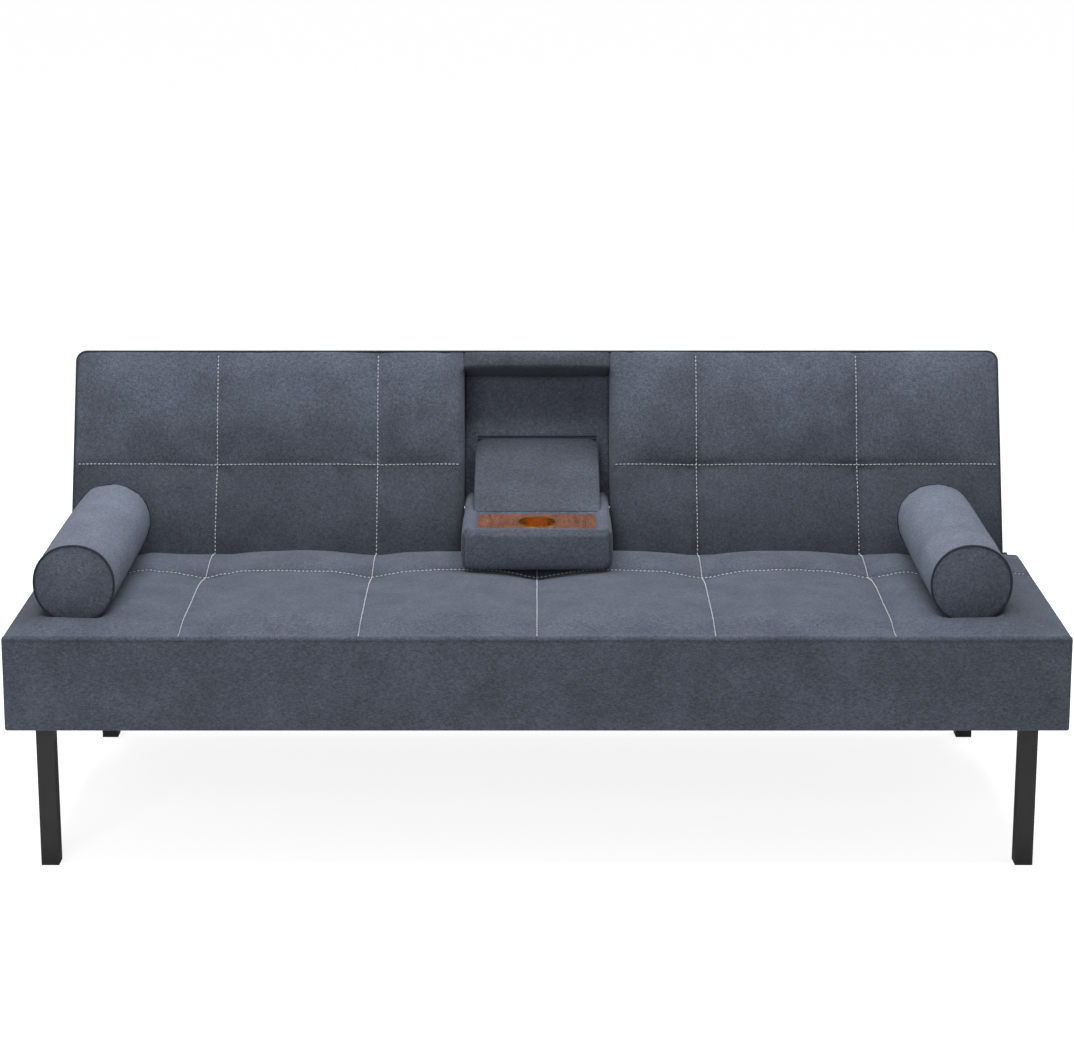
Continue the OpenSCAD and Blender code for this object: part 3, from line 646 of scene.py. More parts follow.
SEAT_ROUND = 4 * MM
SEAT_CROWN = 8 * MM
SEAT_PILLOW = 12 * MM
SEAT_POWER = 2.3
SEAT_TUFT, SEAT_TUFT_REACH = 15 * MM, 50 * MM
SEAT_PUCKER = 1.3 * MM
BOTTOM_RECESS = 3 * MM
DENT_DEPTH, DENT_HALF_WIDTH = 1.5 * MM, 55 * MM
WELT_HEIGHT, WELT_PLACE = 1.6 * MM, 5 * MM


def seat_marks():
    xs = sorted([-x for x in SEAM_XS] + [0.0] + SEAM_XS)
    return [-SEAT_X] + xs + [SEAT_X], [SEAT_FRONT, SEAT_SEAM_Y, SEAT_REAR]


def seat_lift(points):
    """How far the filling, tufts, puckers and bolsters raise the seat's top at each point."""
    marks_x, marks_y = seat_marks()
    seams = marks_x[1:-1]
    x, y = points[:, 0], points[:, 1]
    rise_x = panel_rise(x, marks_x, SEAT_POWER, True, True)
    rise_y = panel_rise(y, marks_y, SEAT_POWER, True, False)
    edge_x = smooth((SEAT_X - np.abs(x)) / 0.10)
    edge_y = smooth((y - SEAT_FRONT) / 0.08) * smooth((SEAT_REAR - y) / 0.05)
    tufts = [(tx, SEAT_SEAM_Y) for tx in seams]
    lift = SEAT_CROWN * edge_x * edge_y + SEAT_PILLOW * rise_x * rise_y
    lift += tuft_pull(x, y, tufts, SEAT_TUFT, SEAT_TUFT_REACH, 11)
    lift += wobble(points, 9, 2.0 * MM, 1) + wobble(points, 24, 0.9 * MM, 3)
    for side in ("left", "right"):
        low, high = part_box(f"bolster_{side}_cover")
        middle = (low[0] + high[0]) / 2
        dent = np.exp(-(np.abs(x - middle) / DENT_HALF_WIDTH) ** 4)
        dent *= smooth((y - low[1] + 0.02) / 0.03)
        lift = lift * (1 - dent) - DENT_DEPTH * dent
    for number, sx in enumerate(seams):
        lift += seam_pucker(y, np.abs(x - sx), number, SEAT_PUCKER)
    return lift + seam_pucker(x, np.abs(y - SEAT_SEAM_Y), 9, SEAT_PUCKER)


def seat_painted_shade(points, on_top):
    """Painted shade: darker in the seams, round the tufts, at the rear and under the front edge's fold.
    """
    x, y, z = points.T
    hollow_shade = bell(y - SEAT_SEAM_Y, 9 * MM) + 0.7 * bell(SEAT_REAR - y, 0.03)
    for sx in seat_marks()[0][1:-1]:
        hollow_shade += 0.5 * bell(x - sx, 7 * MM)
        hollow_shade += 0.8 * bell(np.hypot(x - sx, y - SEAT_SEAM_Y), 0.035)
    fold = bell(z - SEAT_TOP + 6 * MM, 2 * MM) * (y < SEAT_FRONT + 4 * MM)
    return 1 - 0.22 * np.clip(hollow_shade, 0, 1.5) * on_top - 0.3 * fold


def build_seat():
    """The quilted seat: a box grid, rounded, raised by its filling, then puffed."""
    seams = seat_marks()[0][1:-1]
    points, quads = box_grid(
        stops(-SEAT_X, SEAT_X, CELL, seams, EDGE),
        stops(SEAT_FRONT, SEAT_REAR, CELL, [SEAT_SEAM_Y], EDGE),
        stops(SEAT_BOTTOM, SEAT_TOP, SIDE_CELL, (), EDGE))
    height = share(points[:, 2], SEAT_BOTTOM, SEAT_TOP)
    rounded = round_box(points, seat_lo, seat_hi, SEAT_ROUND * (1 + smooth(height)))
    x, y = rounded[:, 0], rounded[:, 1]
    on_top = smooth((rounded[:, 2] - (SEAT_TOP - EDGE)) / EDGE)
    fade = smooth((y - SEAT_FRONT - 4 * MM) / 0.06) * smooth((SEAT_X - np.abs(x) - 4 * MM) / 0.05)
    rounded[:, 2] += on_top * seat_lift(rounded) * (0.1 + 0.9 * fade)
    rounded[:, 2] += on_top * WELT_HEIGHT * bell(y - SEAT_FRONT - WELT_PLACE, WELT_PLACE)
    clear = 5 * MM
    inside = (np.abs(x) < SEAT_X - clear) & (y > SEAT_FRONT + clear) & (y < SEAT_REAR - clear)
    rounded[:, 2] += np.where(inside & (height < 1e-6), BOTTOM_RECESS, 0)
    cushion = new_object("seat_cushion", rounded, quads, MATERIALS["fabric"])
    set_painted_light_and_shade(cushion, seat_painted_shade(rounded, on_top))
    sewn = on_seams(x, y, seams, SEAT_SEAM_Y)
    rim = (np.abs(x) > SEAT_X - EDGE) | (y < SEAT_FRONT + EDGE) | (y > SEAT_REAR - EDGE)
    return inflate(cushion, sewn | rim | (on_top < 0.9), PUFF_LIMIT)


seat = build_seat()
seat_lines = [((x, SEAT_FRONT + 6 * MM, SEAT_TOP), (x, SEAT_REAR - 4 * MM, SEAT_TOP))
              for x in seat_marks()[0][1:-1]]
seat_lines.append(((-SEAT_X + 8 * MM, SEAT_SEAM_Y, SEAT_TOP),
                   (SEAT_X - 8 * MM, SEAT_SEAM_Y, SEAT_TOP)))
seat_stitches = stitch_lines("seat_stitching", seat, seat_lines, (0, 0, -1))
for piece in (seat, seat_stitches):
    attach(piece, "base")
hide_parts("seat_cover", "seat_foam")


# ---- Backrest wings ----


CORNER = 20 * MM
BACK_EDGE = 7 * MM
INNER_EDGE = 9 * MM
WING_CROWN = 4 * MM
WING_PILLOW = 14 * MM
WING_TUFT, WING_TUFT_REACH = 14 * MM, 55 * MM
WING_PUCKER = 1.2 * MM


def wing_lift(points, side):
    """How far the filling, tufts and puckers push the wing's front out at each point."""
    low, high = wing_lo, wing_hi
    x, z = points[:, 0], points[:, 2]
    rise_x = panel_rise(x, [low[0]] + SEAM_XS + [high[0]], 2.3, False, False)
    rise_z = panel_rise(z, [low[2], BACK_SEAM_Z, high[2]], 2.2, True, False)
    edge_x = smooth((x - low[0]) / 0.05) * smooth((high[0] - x) / 0.05)
    edge_z = smooth((high[2] - z) / 0.05)
    tufts = [(tx, BACK_SEAM_Z) for tx in SEAM_XS]
    lift = WING_CROWN * edge_x * edge_z + WING_PILLOW * rise_x * rise_z
    lift += tuft_pull(x, z, tufts, WING_TUFT, WING_TUFT_REACH, 31 + side)
    lift += wobble(points + [0, 0, side], 9, 1.8 * MM, 2) + wobble(points, 24, 0.8 * MM, 7 + side)
    for number, sx in enumerate(SEAM_XS):
        lift += seam_pucker(z, np.abs(x - sx), number + 20 + side, WING_PUCKER)
    return lift + seam_pucker(x, np.abs(z - BACK_SEAM_Z), 29 + side, WING_PUCKER)


def wing_painted_shade(x, z):
    """Painted shade: darker in the crease and seams, and over the lower panels, which turn away from
    the light, most of all near the seat.
    """
    crease = bell(z - BACK_SEAM_Z - 4 * MM, 9 * MM)
    near = sum(bell(x - sx, 0.06) for sx in SEAM_XS)
    seam = sum(bell(x - sx, 6 * MM) for sx in SEAM_XS)
    lower = 1 - smooth((z - BACK_SEAM_Z + 4 * MM) / (8 * MM))
    deep = 1 - smooth(z / 0.12)
    return 1 - 0.36 * crease * (0.35 + near) - 0.15 * seam - lower * (0.3 + 0.2 * deep)


def build_wing(side):
    """One quilted wing, shaped as the right one; side is 1 for the right, -1 for the left."""
    low, high = wing_lo.copy(), wing_hi.copy()
    high[1] = rear_lo[1]
    points, quads = box_grid(
        stops(low[0], high[0], CELL, SEAM_XS, EDGE),
        stops(low[1], high[1], SIDE_CELL, (), EDGE),
        stops(low[2], high[2], CELL, [BACK_SEAM_Z], EDGE))
    depth = share(points[:, 1], low[1], high[1])
    beside_strip = smooth((points[:, 2] - strip_lo[2] + 0.01) / 0.01)
    joined = beside_strip * smooth((low[0] + 0.04 - points[:, 0]) / 0.02)
    inner = smooth((low[0] + 0.05 - points[:, 0]) / 0.03) * (1 - joined)
    radius = (BACK_EDGE + INNER_EDGE * inner) * (1 - 0.6 * smooth(depth)) * (1 - 0.5 * joined)
    rounded = round_box(points, low, high, radius)
    rounded = round_outline(rounded, 0, 2, high[0], high[2], CORNER)
    x, z = rounded[:, 0], rounded[:, 2]
    on_front = smooth((low[1] + EDGE - rounded[:, 1]) / EDGE)
    rounded[:, 1] -= on_front * wing_lift(rounded, side)
    if side < 0:
        # x turns negative with it, so on the left wing rim below is everywhere and nothing puffs
        rounded[:, 0] *= -1
        quads = quads[:, ::-1]
    name = "wing_right" if side > 0 else "wing_left"
    wing = new_object(name, rounded, quads, MATERIALS["fabric"])
    set_painted_light_and_shade(wing, wing_painted_shade(x, z))
    sewn = on_seams(x, z, SEAM_XS, BACK_SEAM_Z)
    rim = (x < low[0] + EDGE) | (x > high[0] - EDGE)
    rim |= (z > high[2] - EDGE) | (z < low[2] + 0.03)
    return inflate(wing, sewn | rim | (on_front < 0.9), PUFF_LIMIT)


def wing_stitches(wing, side):
    name = "wing_right_stitching" if side > 0 else "wing_left_stitching"
    front = wing_lo[1]
    lines = [((side * x, front, wing_lo[2] + 24 * MM), (side * x, front, wing_hi[2] - 5 * MM))
             for x in SEAM_XS]
    lines.append(((side * (OPENING_X + 9 * MM), front, BACK_SEAM_Z),
                  (side * (wing_hi[0] - 4 * MM), front, BACK_SEAM_Z)))
    return stitch_lines(name, wing, lines, (0, 1, 0))


for side, label in ((1, "right"), (-1, "left")):
    wing = build_wing(side)
    thread = wing_stitches(wing, side)
    for piece in (wing, thread):
        place(piece, BACK)
        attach(piece, "backrest")
    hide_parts(f"wing_cover_{label}", f"wing_foam_{label}")


# ---- Top strip, lower band, rear panel, recess ----


# Painted shade: the top strip over the recess is drawn this many times as light as the fabric.
STRIP_PAINTED_SHADE = 0.74
RECESS_SEAM_Z = 0.335
FLAP_TOP_Z = 0.237
HEM = 13 * MM
PIPING = 2.1 * MM
THIN_PIPING = 1.6 * MM
RECESS_PIPE_X = 0.112


def soft_block(name, low, high, radius, cell, material, front_puff=0.0):
    """A rounded padded block in the backrest's axes, with its front puffed out."""
    low, high = np.array(low), np.array(high)
    points, quads = box_grid(*(stops(a, b, cell, (), radius) for a, b in zip(low, high)))
    rounded = round_box(points, low, high, radius)
    if front_puff:
        t = share(rounded, low, high)
        facing = smooth(1 - np.abs(rounded[:, 1] - low[1]) / radius)
        rounded[:, 1] -= front_puff * pillow(t[:, 0], 3.0) * pillow(t[:, 2], 3.0) * facing
    return new_object(name, rounded, quads, material)


strip_low = strip_lo + [-2 * MM, 0, 0]
strip_high = [strip_hi[0] + 2 * MM, rear_lo[1], strip_hi[2]]
top_strip = soft_block("top_strip", strip_low, strip_high, 7 * MM, 6 * MM, MATERIALS["fabric"],
                       3 * MM)
band_lo, band_hi = local_box("lower_band", TO_BACK)
lower_band = soft_block("lower_band_cover", band_lo, band_hi, 12 * MM, 8 * MM,
                        MATERIALS["lining"])
# The fabric turned over the lower rail, where the recess lets it be seen
wrap_lo = [band_lo[0], 53.5 * MM, 18 * MM]
wrap_hi = [band_hi[0], 60 * MM, 40 * MM]
rail_wrap = soft_block("rail_wrap", wrap_lo, wrap_hi, 3 * MM, 4 * MM, MATERIALS["lining"])


def build_lining():
    """The quilted back wall of the recess, drawn in at one sewn line."""
    low, high = lining_lo.copy(), lining_hi.copy()
    points, quads = box_grid(stops(low[0], high[0], 6 * MM), stops(low[1], high[1], 2 * MM),
                             stops(low[2], high[2], 5 * MM, [RECESS_SEAM_Z]))
    x, z = points[:, 0], points[:, 2]
    front = points[:, 1] < low[1] + 1e-6
    puff = 3 * MM * pillow(share(x, low[0], high[0]), 3.0)
    rise = panel_rise(z, [FLAP_TOP_Z, RECESS_SEAM_Z, high[2]], 2.4, False, False)
    above = smooth((z - FLAP_TOP_Z) / (10 * MM))
    points[:, 1] -= np.where(front, (puff + wobble(points, 22, 0.8 * MM, 5)) * rise * above, 0)
    return new_object("recess_back", points, quads, MATERIALS["lining"])


lining = build_lining()


def build_rear():
    """The stapled fabric that closes the backrest's rear, tight over the frame."""
    low, high = rear_lo, rear_hi
    points, quads = box_grid(stops(low[0], high[0], 9 * MM, (), 6 * MM),
                             stops(low[1], high[1], 2 * MM),
                             stops(low[2], high[2], 9 * MM, (), 6 * MM))
    rounded = round_box(points, low, high, 1.8 * MM)
    rounded = round_outline(rounded, 0, 2, high[0], high[2], CORNER)
    x, z = rounded[:, 0], rounded[:, 2]
    rear = rounded[:, 1] > high[1] - 1e-4
    rise = pillow(share(x, low[0], high[0]), 8) * pillow(share(z, low[2], high[2]), 5)
    sag = -1.2 * MM * rise + wobble(rounded, 6, 1.0 * MM, 8) * rise
    rounded[:, 1] += np.where(rear, sag, 0)
    return new_object("rear_cover", rounded, quads, MATERIALS["fabric"])


rear = build_rear()
rear_x, rear_low, rear_top = rear_hi[0] - HEM, rear_lo[2] + HEM, rear_hi[2] - HEM
rear_lines = [((-rear_x, rear_hi[1], rear_top), (rear_x, rear_hi[1], rear_top)),
              ((-rear_x, rear_hi[1], rear_low), (rear_x, rear_hi[1], rear_low)),
              ((-rear_x, rear_hi[1], rear_low), (-rear_x, rear_hi[1], rear_top)),
              ((rear_x, rear_hi[1], rear_low), (rear_x, rear_hi[1], rear_top))]
rear_stitches = stitch_lines("rear_stitching", rear, rear_lines, (0, -1, 0))


def piping_path():
    """Along the outer front edge of the backrest, on the rounding between its front and sides."""
    sink = 0.25 * BACK_EDGE
    x, top, depth = wing_hi[0] - sink, wing_hi[2] - sink, wing_lo[1] + sink
    bend = CORNER - sink
    half = [(x, 0.0)] + [(x, z) for z in np.arange(0.02, top - bend, 0.02)]
    half += [(x - bend + bend * math.cos(a), top - bend + bend * math.sin(a))
             for a in np.linspace(0, math.pi / 2, 9)]
    half += [(value, top) for value in np.arange(x - bend - 0.02, 0, -0.02)]
    path = [(px, depth, pz) for px, pz in half]
    return path + [(-px, depth, pz) for px, pz in reversed(half)]


piping = tube("backrest_piping", piping_path(), PIPING, MATERIALS["piping"])
recess_pipes = []
for number, z in enumerate((FLAP_TOP_Z + 1 * MM, FLAP_TOP_Z + 7 * MM)):
    path = [(x, lining_lo[1] - 2 * MM, z) for x in np.linspace(-RECESS_PIPE_X, RECESS_PIPE_X, 40)]
    recess_pipes.append(tube(f"recess_piping_{number}", path, THIN_PIPING, MATERIALS["piping"]))

BACK_PIECES = [(top_strip, "back_fabric", ["top_strip_cover", "top_strip_foam"]),
               (lower_band, "back_fabric", ["lower_band"]),
               (rail_wrap, "back_fabric", []),
               (lining, "back_fabric", ["recess_lining"]),
               (rear, "back_fabric", ["rear_panel"]),
               (rear_stitches, None, []),
               (piping, "piping", ["back_piping"])]
BACK_PIECES += [(pipe, "piping", []) for pipe in recess_pipes]
for piece, slot, nodes in BACK_PIECES:
    place(piece, BACK)
    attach(piece, "backrest")
    if nodes:
        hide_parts(*nodes)
# Painted shade over the whole top strip.
set_painted_light_and_shade(top_strip, np.full(len(top_strip.data.vertices), STRIP_PAINTED_SHADE))

# ---- Flap between the recess and the console ----


FLAP_TUCK = 29 * MM
FLAP_UNDER, FLAP_OVER = 4 * MM, 6 * MM
FLAP_ROUND, FLAP_CORNER = 4 * MM, 24 * MM
FLAP_PUFF, FLAP_SAG, FLAP_DROP = 7 * MM, 7 * MM, 9 * MM


def build_flap():
    """The padded web from the recess down to the console, tucked in behind the tray at its foot."""
    corners = node_points("console_flap")
    corners = corners[np.argsort(corners[:, 1])]
    foot, root = (Vector((0, *group[:, 1:].mean(axis=0))) for group in (corners[:4], corners[-4:]))
    half = corners[:, 0].max()
    run = root - foot
    along = run.normalized()
    up = Vector((1, 0, 0)).cross(along)
    turn = Matrix((Vector((1, 0, 0)), along, up)).transposed().to_4x4()
    low = np.array([-half, -FLAP_TUCK, -FLAP_UNDER])
    high = np.array([half, run.length, FLAP_OVER])
    points, quads = box_grid(stops(low[0], high[0], 6 * MM, (), FLAP_ROUND),
                             stops(low[1], high[1], 5 * MM, (), FLAP_ROUND),
                             stops(low[2], high[2], 3 * MM))
    points = round_box(points, low, high, FLAP_ROUND)
    points = round_outline(points, 0, 1, half, high[1], FLAP_CORNER)
    t_x = share(points[:, 0], low[0], high[0])
    t_y = share(points[:, 1], low[1], high[1])
    rise = pillow(np.clip(t_x, 0, 1), 3.0) * pillow(np.clip(t_y, 0, 1), 4.0)
    upper = points[:, 2] > 0
    points[:, 2] += np.where(upper, FLAP_PUFF * rise + wobble(points, 20, 1.5 * MM, 4) * rise, 0)
    points[:, 2] -= FLAP_SAG * np.sin(np.pi * np.clip(t_y, 0, 1)) ** 1.5
    points[:, 2] -= FLAP_DROP * (1 - smooth(t_y / 0.5))
    panel = new_object("flap", points, quads, MATERIALS["fabric"])
    # Painted shade: the flap is drawn darker, most towards its root up in the recess.
    set_painted_light_and_shade(panel, 0.68 + 0.12 * (1 - t_y))
    return place(panel, Matrix.Translation(foot) @ turn), foot, root


flap, flap_foot, flap_root = build_flap()
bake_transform(flap)
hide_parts("console_flap")

# ---- Console ----

tray_top = local_box("console_tray", TO_PIVOT)[1][2]
RIM_SIDE = 25 * MM
RIM_FRONT = 14 * MM
TRAY_OPENING_X = pad_hi[0] - RIM_SIDE
TRAY_OPENING_FRONT = pad_lo[1] + RIM_FRONT
TRAY_OPENING_REAR = TRAY_OPENING_FRONT + 122 * MM
TRAY_LAP = 1.2 * MM
WELL_DEPTH = 56 * MM
SHELF = 4 * MM
PAD_CELL = 4 * MM
PAD_ROUND, PAD_BOW = 10.5 * MM, 1.5 * MM
PAD_CORNER = 19 * MM
PAD_CROWN = 3 * MM
FRONT_BULGE = 4 * MM
SIDE_BULGE = 0.018
# Painted light: the console's front face is drawn lighter by this share, most halfway up it.
FRONT_PAINTED_LIGHT = 0.35


def sunk_top(x, y, z):
    """The pad's top: soft rims, a ledge for the tray, a well for the cup, a shelf for the flap."""
    inside = np.minimum(TRAY_OPENING_X - np.abs(x),
                        np.minimum(y - TRAY_OPENING_FRONT, TRAY_OPENING_REAR - y))
    crown = PAD_CROWN * smooth((pad_hi[0] - np.abs(x)) / (10 * MM)) * smooth(-inside / (6 * MM))
    ledge = (pad_hi[2] - tray_top + TRAY_LAP) * smooth((inside + 1 * MM) / (4 * MM))
    behind = np.minimum(TRAY_OPENING_X + 9 * MM - np.abs(x), y - TRAY_OPENING_REAR)
    ledge = np.maximum(ledge, SHELF * smooth(behind / (6 * MM) + 0.5))
    well = WELL_DEPTH * smooth((inside - 6 * MM) / (6 * MM))
    return z + crown - ledge - well


def build_console_pad():
    """Padded box with soft rims around the sunken wooden tray."""
    points, quads = box_grid(
        stops(pad_lo[0], pad_hi[0], PAD_CELL, [-TRAY_OPENING_X, TRAY_OPENING_X], 18 * MM),
        stops(pad_lo[1], pad_hi[1], PAD_CELL, [TRAY_OPENING_FRONT, TRAY_OPENING_REAR], 13 * MM),
        stops(pad_lo[2], pad_hi[2], PAD_CELL, (), 14 * MM))
    bow = PAD_BOW * smooth((pad_lo[1] + 0.05 - points[:, 1]) / 0.05)
    shaped = round_box(points, pad_lo, pad_hi, PAD_ROUND + bow)
    centre = (pad_lo[1] + pad_hi[1]) / 2
    shaped[:, 1] = centre - shaped[:, 1]
    shaped = round_outline(shaped, 0, 1, pad_hi[0], (pad_hi[1] - pad_lo[1]) / 2, PAD_CORNER)
    shaped[:, 1] = centre - shaped[:, 1]
    x, y, z = shaped.T
    opened = (z > pad_hi[2] - 8 * MM) & (points[:, 2] > pad_hi[2] - 1e-6)
    shaped[:, 2] = np.where(opened, sunk_top(x, y, z), z)
    front = points[:, 1] < pad_lo[1] + 1e-6
    tall = pillow(np.clip(share(z, pad_lo[2], pad_hi[2]), 0, 1), 2.2)
    wide = pillow(np.clip(share(x, pad_lo[0], pad_hi[0]), 0, 1), 6)
    shaped[:, 1] -= np.where(front, FRONT_BULGE * tall * wide, 0)
    shaped[:, 0] *= 1 + SIDE_BULGE * tall * smooth((pad_lo[1] + 0.16 - y) / 0.06)
    shaped += wobble(shaped, 28, 0.9 * MM, 6)[:, None] * np.array([0.0, 1.0, 0.6])
    cover = new_object("console_cover", shaped, quads, MATERIALS["fabric"])
    # Painted light on the front face, most halfway up it.
    set_painted_light_and_shade(cover, 1 + FRONT_PAINTED_LIGHT * front * tall)
    return cover


console = build_console_pad()
place(console, Matrix.Translation(PIVOT))
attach(console, "console")
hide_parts("console_pad")

# ---- Bolsters ----

RING = 72
SQUARENESS = 2.12
SQUASH = 0.985
FLAT_AT = 0.972
DOME = 11 * MM
SHOULDER = 1 * MM
BARREL = 0.022
SEAM_DRAW = 2 * MM
POLE_RISE = 0.3 * MM
PIPING_SEAT = 0.962
# Painted shade: the bolsters' ends, which face sideways to the overhead light, are drawn this many
# times as light.
END_PAINTED_SHADE = 0.78
BOLSTER_PUFF = 1.5 * MM
BOLSTER_SEEDS = {"left": 5.0, "right": 9.0}


def bolster_section(angle, radius):
    """A slightly square, slightly squashed circle that is flat where it lies on the seat."""
    c, s = math.cos(angle), math.sin(angle)
    reach = (abs(c) ** SQUARENESS + abs(s) ** SQUARENESS) ** (-1 / SQUARENESS)
    return radius * reach * c, max(radius * reach * s * SQUASH, -FLAT_AT * radius)


def bolster_stations(length, radius):
    """Pairs of distance along the bolster and radius, from one pole to the other."""
    cap = [(DOME * t ** 2.2, radius * t) for t in np.linspace(0.08, 1, 12)]
    seam = cap[-1][0]
    body = []
    for t in np.linspace(0, 1, 64)[1:-1]:
        along = seam + (length - 2 * seam) * t
        near = min(along - seam, length - seam - along)
        barrel = radius * (1 + BARREL * math.sin(math.pi * t))
        body.append((along, barrel - SEAM_DRAW * math.exp(-near / 0.012)))
    cap = [(depth, r - 1.5 * MM * (r / radius) ** 6) for depth, r in cap]
    return cap + body + [(length - depth, r) for depth, r in reversed(cap)]


def bolster_row(along, r, length, radius, seed):
    """One ring of points around the bolster, with its folds and the pleats near its ends."""
    row = []
    for k in range(RING):
        angle = 2 * math.pi * k / RING
        x, z = bolster_section(angle, r)
        c, s = math.cos(angle), math.sin(angle)
        end = math.exp(-min(along, length - along) / 0.03)
        fold = noise.noise(Vector((c * 3, s * 3, along * 9 + seed)))
        pleat = noise.noise(Vector((c * 9, s * 9, seed)))
        swell = 1 + (0.016 * fold + 0.02 * end * pleat) * (r / radius)
        row.append(Vector((x * swell, along, z * (1 if z < -0.9 * r else swell))))
    return row


def bolster_faces(row_count):
    """Faces over the two poles and between the rows, for points in the order they are built."""
    turn = [(k, (k + 1) % RING) for k in range(RING)]
    faces = [(0, 1 + m, 1 + k) for k, m in turn]
    for i in range(row_count - 1):
        a, b = 1 + i * RING, 1 + (i + 1) * RING
        faces += [(a + k, a + m, b + m, b + k) for k, m in turn]
    last, tail = 1 + row_count * RING, 1 + (row_count - 1) * RING
    return faces + [(last, tail + k, tail + m) for k, m in turn]


def build_bolster(side):
    low, high = (np.array(c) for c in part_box(f"bolster_{side}_cover"))
    radius = (high[0] - low[0]) / 2
    piping_low, piping_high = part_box(f"bolster_{side}_piping")
    front, rear = piping_low[1], piping_high[1]
    length = rear - front
    centre = Vector(((low[0] + high[0]) / 2, front, low[2] + radius * SQUASH))
    rows = bolster_stations(length, radius * SQUASH)
    points = [Vector((0, rows[0][0] - POLE_RISE, 0))]
    for along, r in rows:
        points += bolster_row(along, r, length, radius, BOLSTER_SEEDS[side])
    points.append(Vector((0, rows[-1][0] + POLE_RISE, 0)))
    body = new_object(f"bolster_{side}", points, bolster_faces(len(rows)), MATERIALS["bolster"])
    cap = DOME + SHOULDER
    # Painted shade on the ends.
    set_painted_light_and_shade(body, [END_PAINTED_SHADE if p[1] < cap or p[1] > length - cap else 1.0 for p in points])
    inflate(body, [abs(min(p[1], length - p[1]) - cap) < 3 * MM or p[2] < -0.93 * radius
                   for p in points], BOLSTER_PUFF)
    rings = []
    for where, along in (("front", DOME), ("rear", length - DOME)):
        outline = [bolster_section(angle, radius * PIPING_SEAT)
                   for angle in np.linspace(0, 2 * math.pi, RING, endpoint=False)]
        ring = [Vector((x, along, z)) for x, z in outline]
        rings.append(ring_tube(f"bolster_{side}_{where}_piping", ring, PIPING, MATERIALS["piping"]))
    for piece in [body] + rings:
        place(piece, Matrix.Translation(centre))
        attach(piece, f"bolster_{side}")
    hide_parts(f"bolster_{side}_cover", f"bolster_{side}_ends", f"bolster_{side}_filling")
    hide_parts(f"bolster_{side}_piping")


for side in ("left", "right"):
    build_bolster(side)

# ---- Dust cover ----

DUST_CELL = 15 * MM
DUST_SAG = 4 * MM
dust_lo, dust_hi = (np.array(c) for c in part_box("dust_cover"))


def build_dust_cover():
    """Thin cloth stapled under the seat, sagging a little between its edges."""
    points, quads = box_grid(stops(dust_lo[0], dust_hi[0], DUST_CELL),
                             stops(dust_lo[1], dust_hi[1], DUST_CELL),
                             np.array([SEAT_BOTTOM + 0.4 * MM, SEAT_BOTTOM + 1.2 * MM]))
    t_x = share(points[:, 0], dust_lo[0], dust_hi[0])
    t_y = share(points[:, 1], dust_lo[1], dust_hi[1])
    sag = DUST_SAG * pillow(t_x, 4) * pillow(t_y, 2.5)
    points[:, 2] -= sag + wobble(points, 8, 0.8 * MM, 12) * pillow(t_x, 8) * pillow(t_y, 4)
    return new_object("dust_sheet", points, quads, MATERIALS["dust"])


dust = build_dust_cover()
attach(dust, "base")
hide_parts("dust_cover")

# ---- Floor, light and camera ----


FLOOR_SIZE, FLOOR_Z = 60, -0.5 * MM
FLOOR_GREY = 0.80
FLOOR_GLOW = 0.8
AMBIENT = 0.30
MIRRORED = 0.6


def build_stage():
    """A pale floor that takes the object's shadow, and glows so that it is white where it doesn't."""
    bpy.ops.mesh.primitive_plane_add(size=FLOOR_SIZE, location=(0, 0, FLOOR_Z))
    floor = bpy.context.object
    floor.name = "floor"
    material = bpy.data.materials.new("pale_floor")
    n = Nodes(material)
    diffuse = n.add("ShaderNodeBsdfDiffuse")
    diffuse.inputs["Color"].default_value = (FLOOR_GREY, FLOOR_GREY, FLOOR_GREY, 1)
    path = n.add("ShaderNodeLightPath").outputs
    glow = n.add("ShaderNodeEmission")
    straight = n.math("MAXIMUM", path["Is Camera Ray"], path["Is Transmission Ray"])
    n.link(n.math("MULTIPLY", straight, FLOOR_GLOW), glow.inputs["Strength"])
    both = n.add("ShaderNodeAddShader")
    n.link(diffuse.outputs[0], both.inputs[0])
    n.link(glow.outputs[0], both.inputs[1])
    n.link(both.outputs[0], n.add("ShaderNodeOutputMaterial").inputs["Surface"])
    floor.data.materials.append(material)


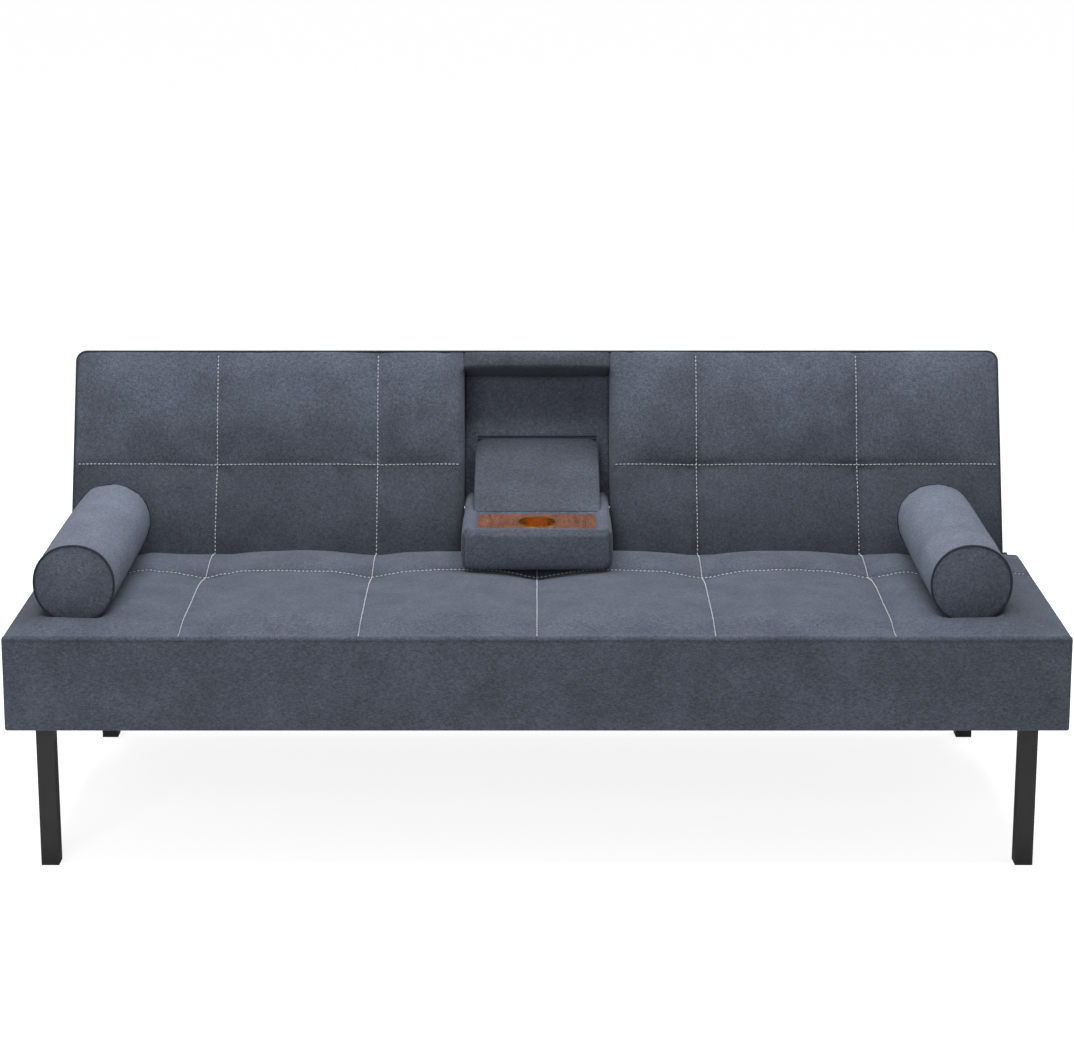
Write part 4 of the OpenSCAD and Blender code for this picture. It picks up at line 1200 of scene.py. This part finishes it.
def build_world():
    """White where the camera sees it, partly white in mirrors, and a low even light elsewhere."""
    world = bpy.data.worlds.new("studio")
    bpy.context.scene.world = world
    n = Nodes(world)
    ambient, white = n.add("ShaderNodeBackground"), n.add("ShaderNodeBackground")
    ambient.inputs["Strength"].default_value = AMBIENT
    white.inputs["Strength"].default_value = 1.0
    path = n.add("ShaderNodeLightPath").outputs
    straight = n.math("MAXIMUM", path["Is Camera Ray"], path["Is Transmission Ray"])
    bright = n.math("MAXIMUM", straight, n.math("MULTIPLY", path["Is Glossy Ray"], MIRRORED))
    mix = n.add("ShaderNodeMixShader")
    for socket, source in zip(mix.inputs, (bright, ambient.outputs[0], white.outputs[0])):
        n.link(source, socket)
    n.link(mix.outputs[0], n.add("ShaderNodeOutputWorld").inputs["Surface"])


def area_light(name, place_at, aim, size, power):
    data = bpy.data.lights.new(name, "AREA")
    data.shape = "RECTANGLE"
    data.size, data.size_y = size
    data.energy = power
    lamp = bpy.data.objects.new(name, data)
    lamp.location = place_at
    lamp.rotation_euler = (Vector(aim) - Vector(place_at)).to_track_quat("-Z", "Y").to_euler()
    bpy.context.collection.objects.link(lamp)


CAMERA_DISTANCE = 4.118
CAMERA_HEIGHT = 1.721
CAMERA_PITCH = 12.84
FOCAL = 87.1
CAMERA_SHIFT = -100 / 1074
SENSOR = 36.0
# Each light's name, place, aim, size and power
LIGHTS = [("overhead", (0.0, 0.0, 3.0), (0, 0.1, 0.3), (3.2, 1.6), 100),
          ("front_fill", (-1.2, -3.6, 1.9), (0, 0, 0.4), (2.2, 1.6), 35)]


def build_camera():
    data = bpy.data.cameras.new("camera")
    data.lens = FOCAL
    data.sensor_width = SENSOR
    data.shift_y = CAMERA_SHIFT
    camera = bpy.data.objects.new("camera", data)
    camera.location = (0, SEAT_FRONT - CAMERA_DISTANCE, CAMERA_HEIGHT)
    camera.rotation_euler = (math.radians(90 - CAMERA_PITCH), 0, 0)
    bpy.context.collection.objects.link(camera)
    bpy.context.scene.camera = camera


finish_cad_nodes()
build_stage()
build_world()
for light in LIGHTS:
    area_light(*light)
build_camera()
bpy.context.scene.view_settings.view_transform = "Standard"
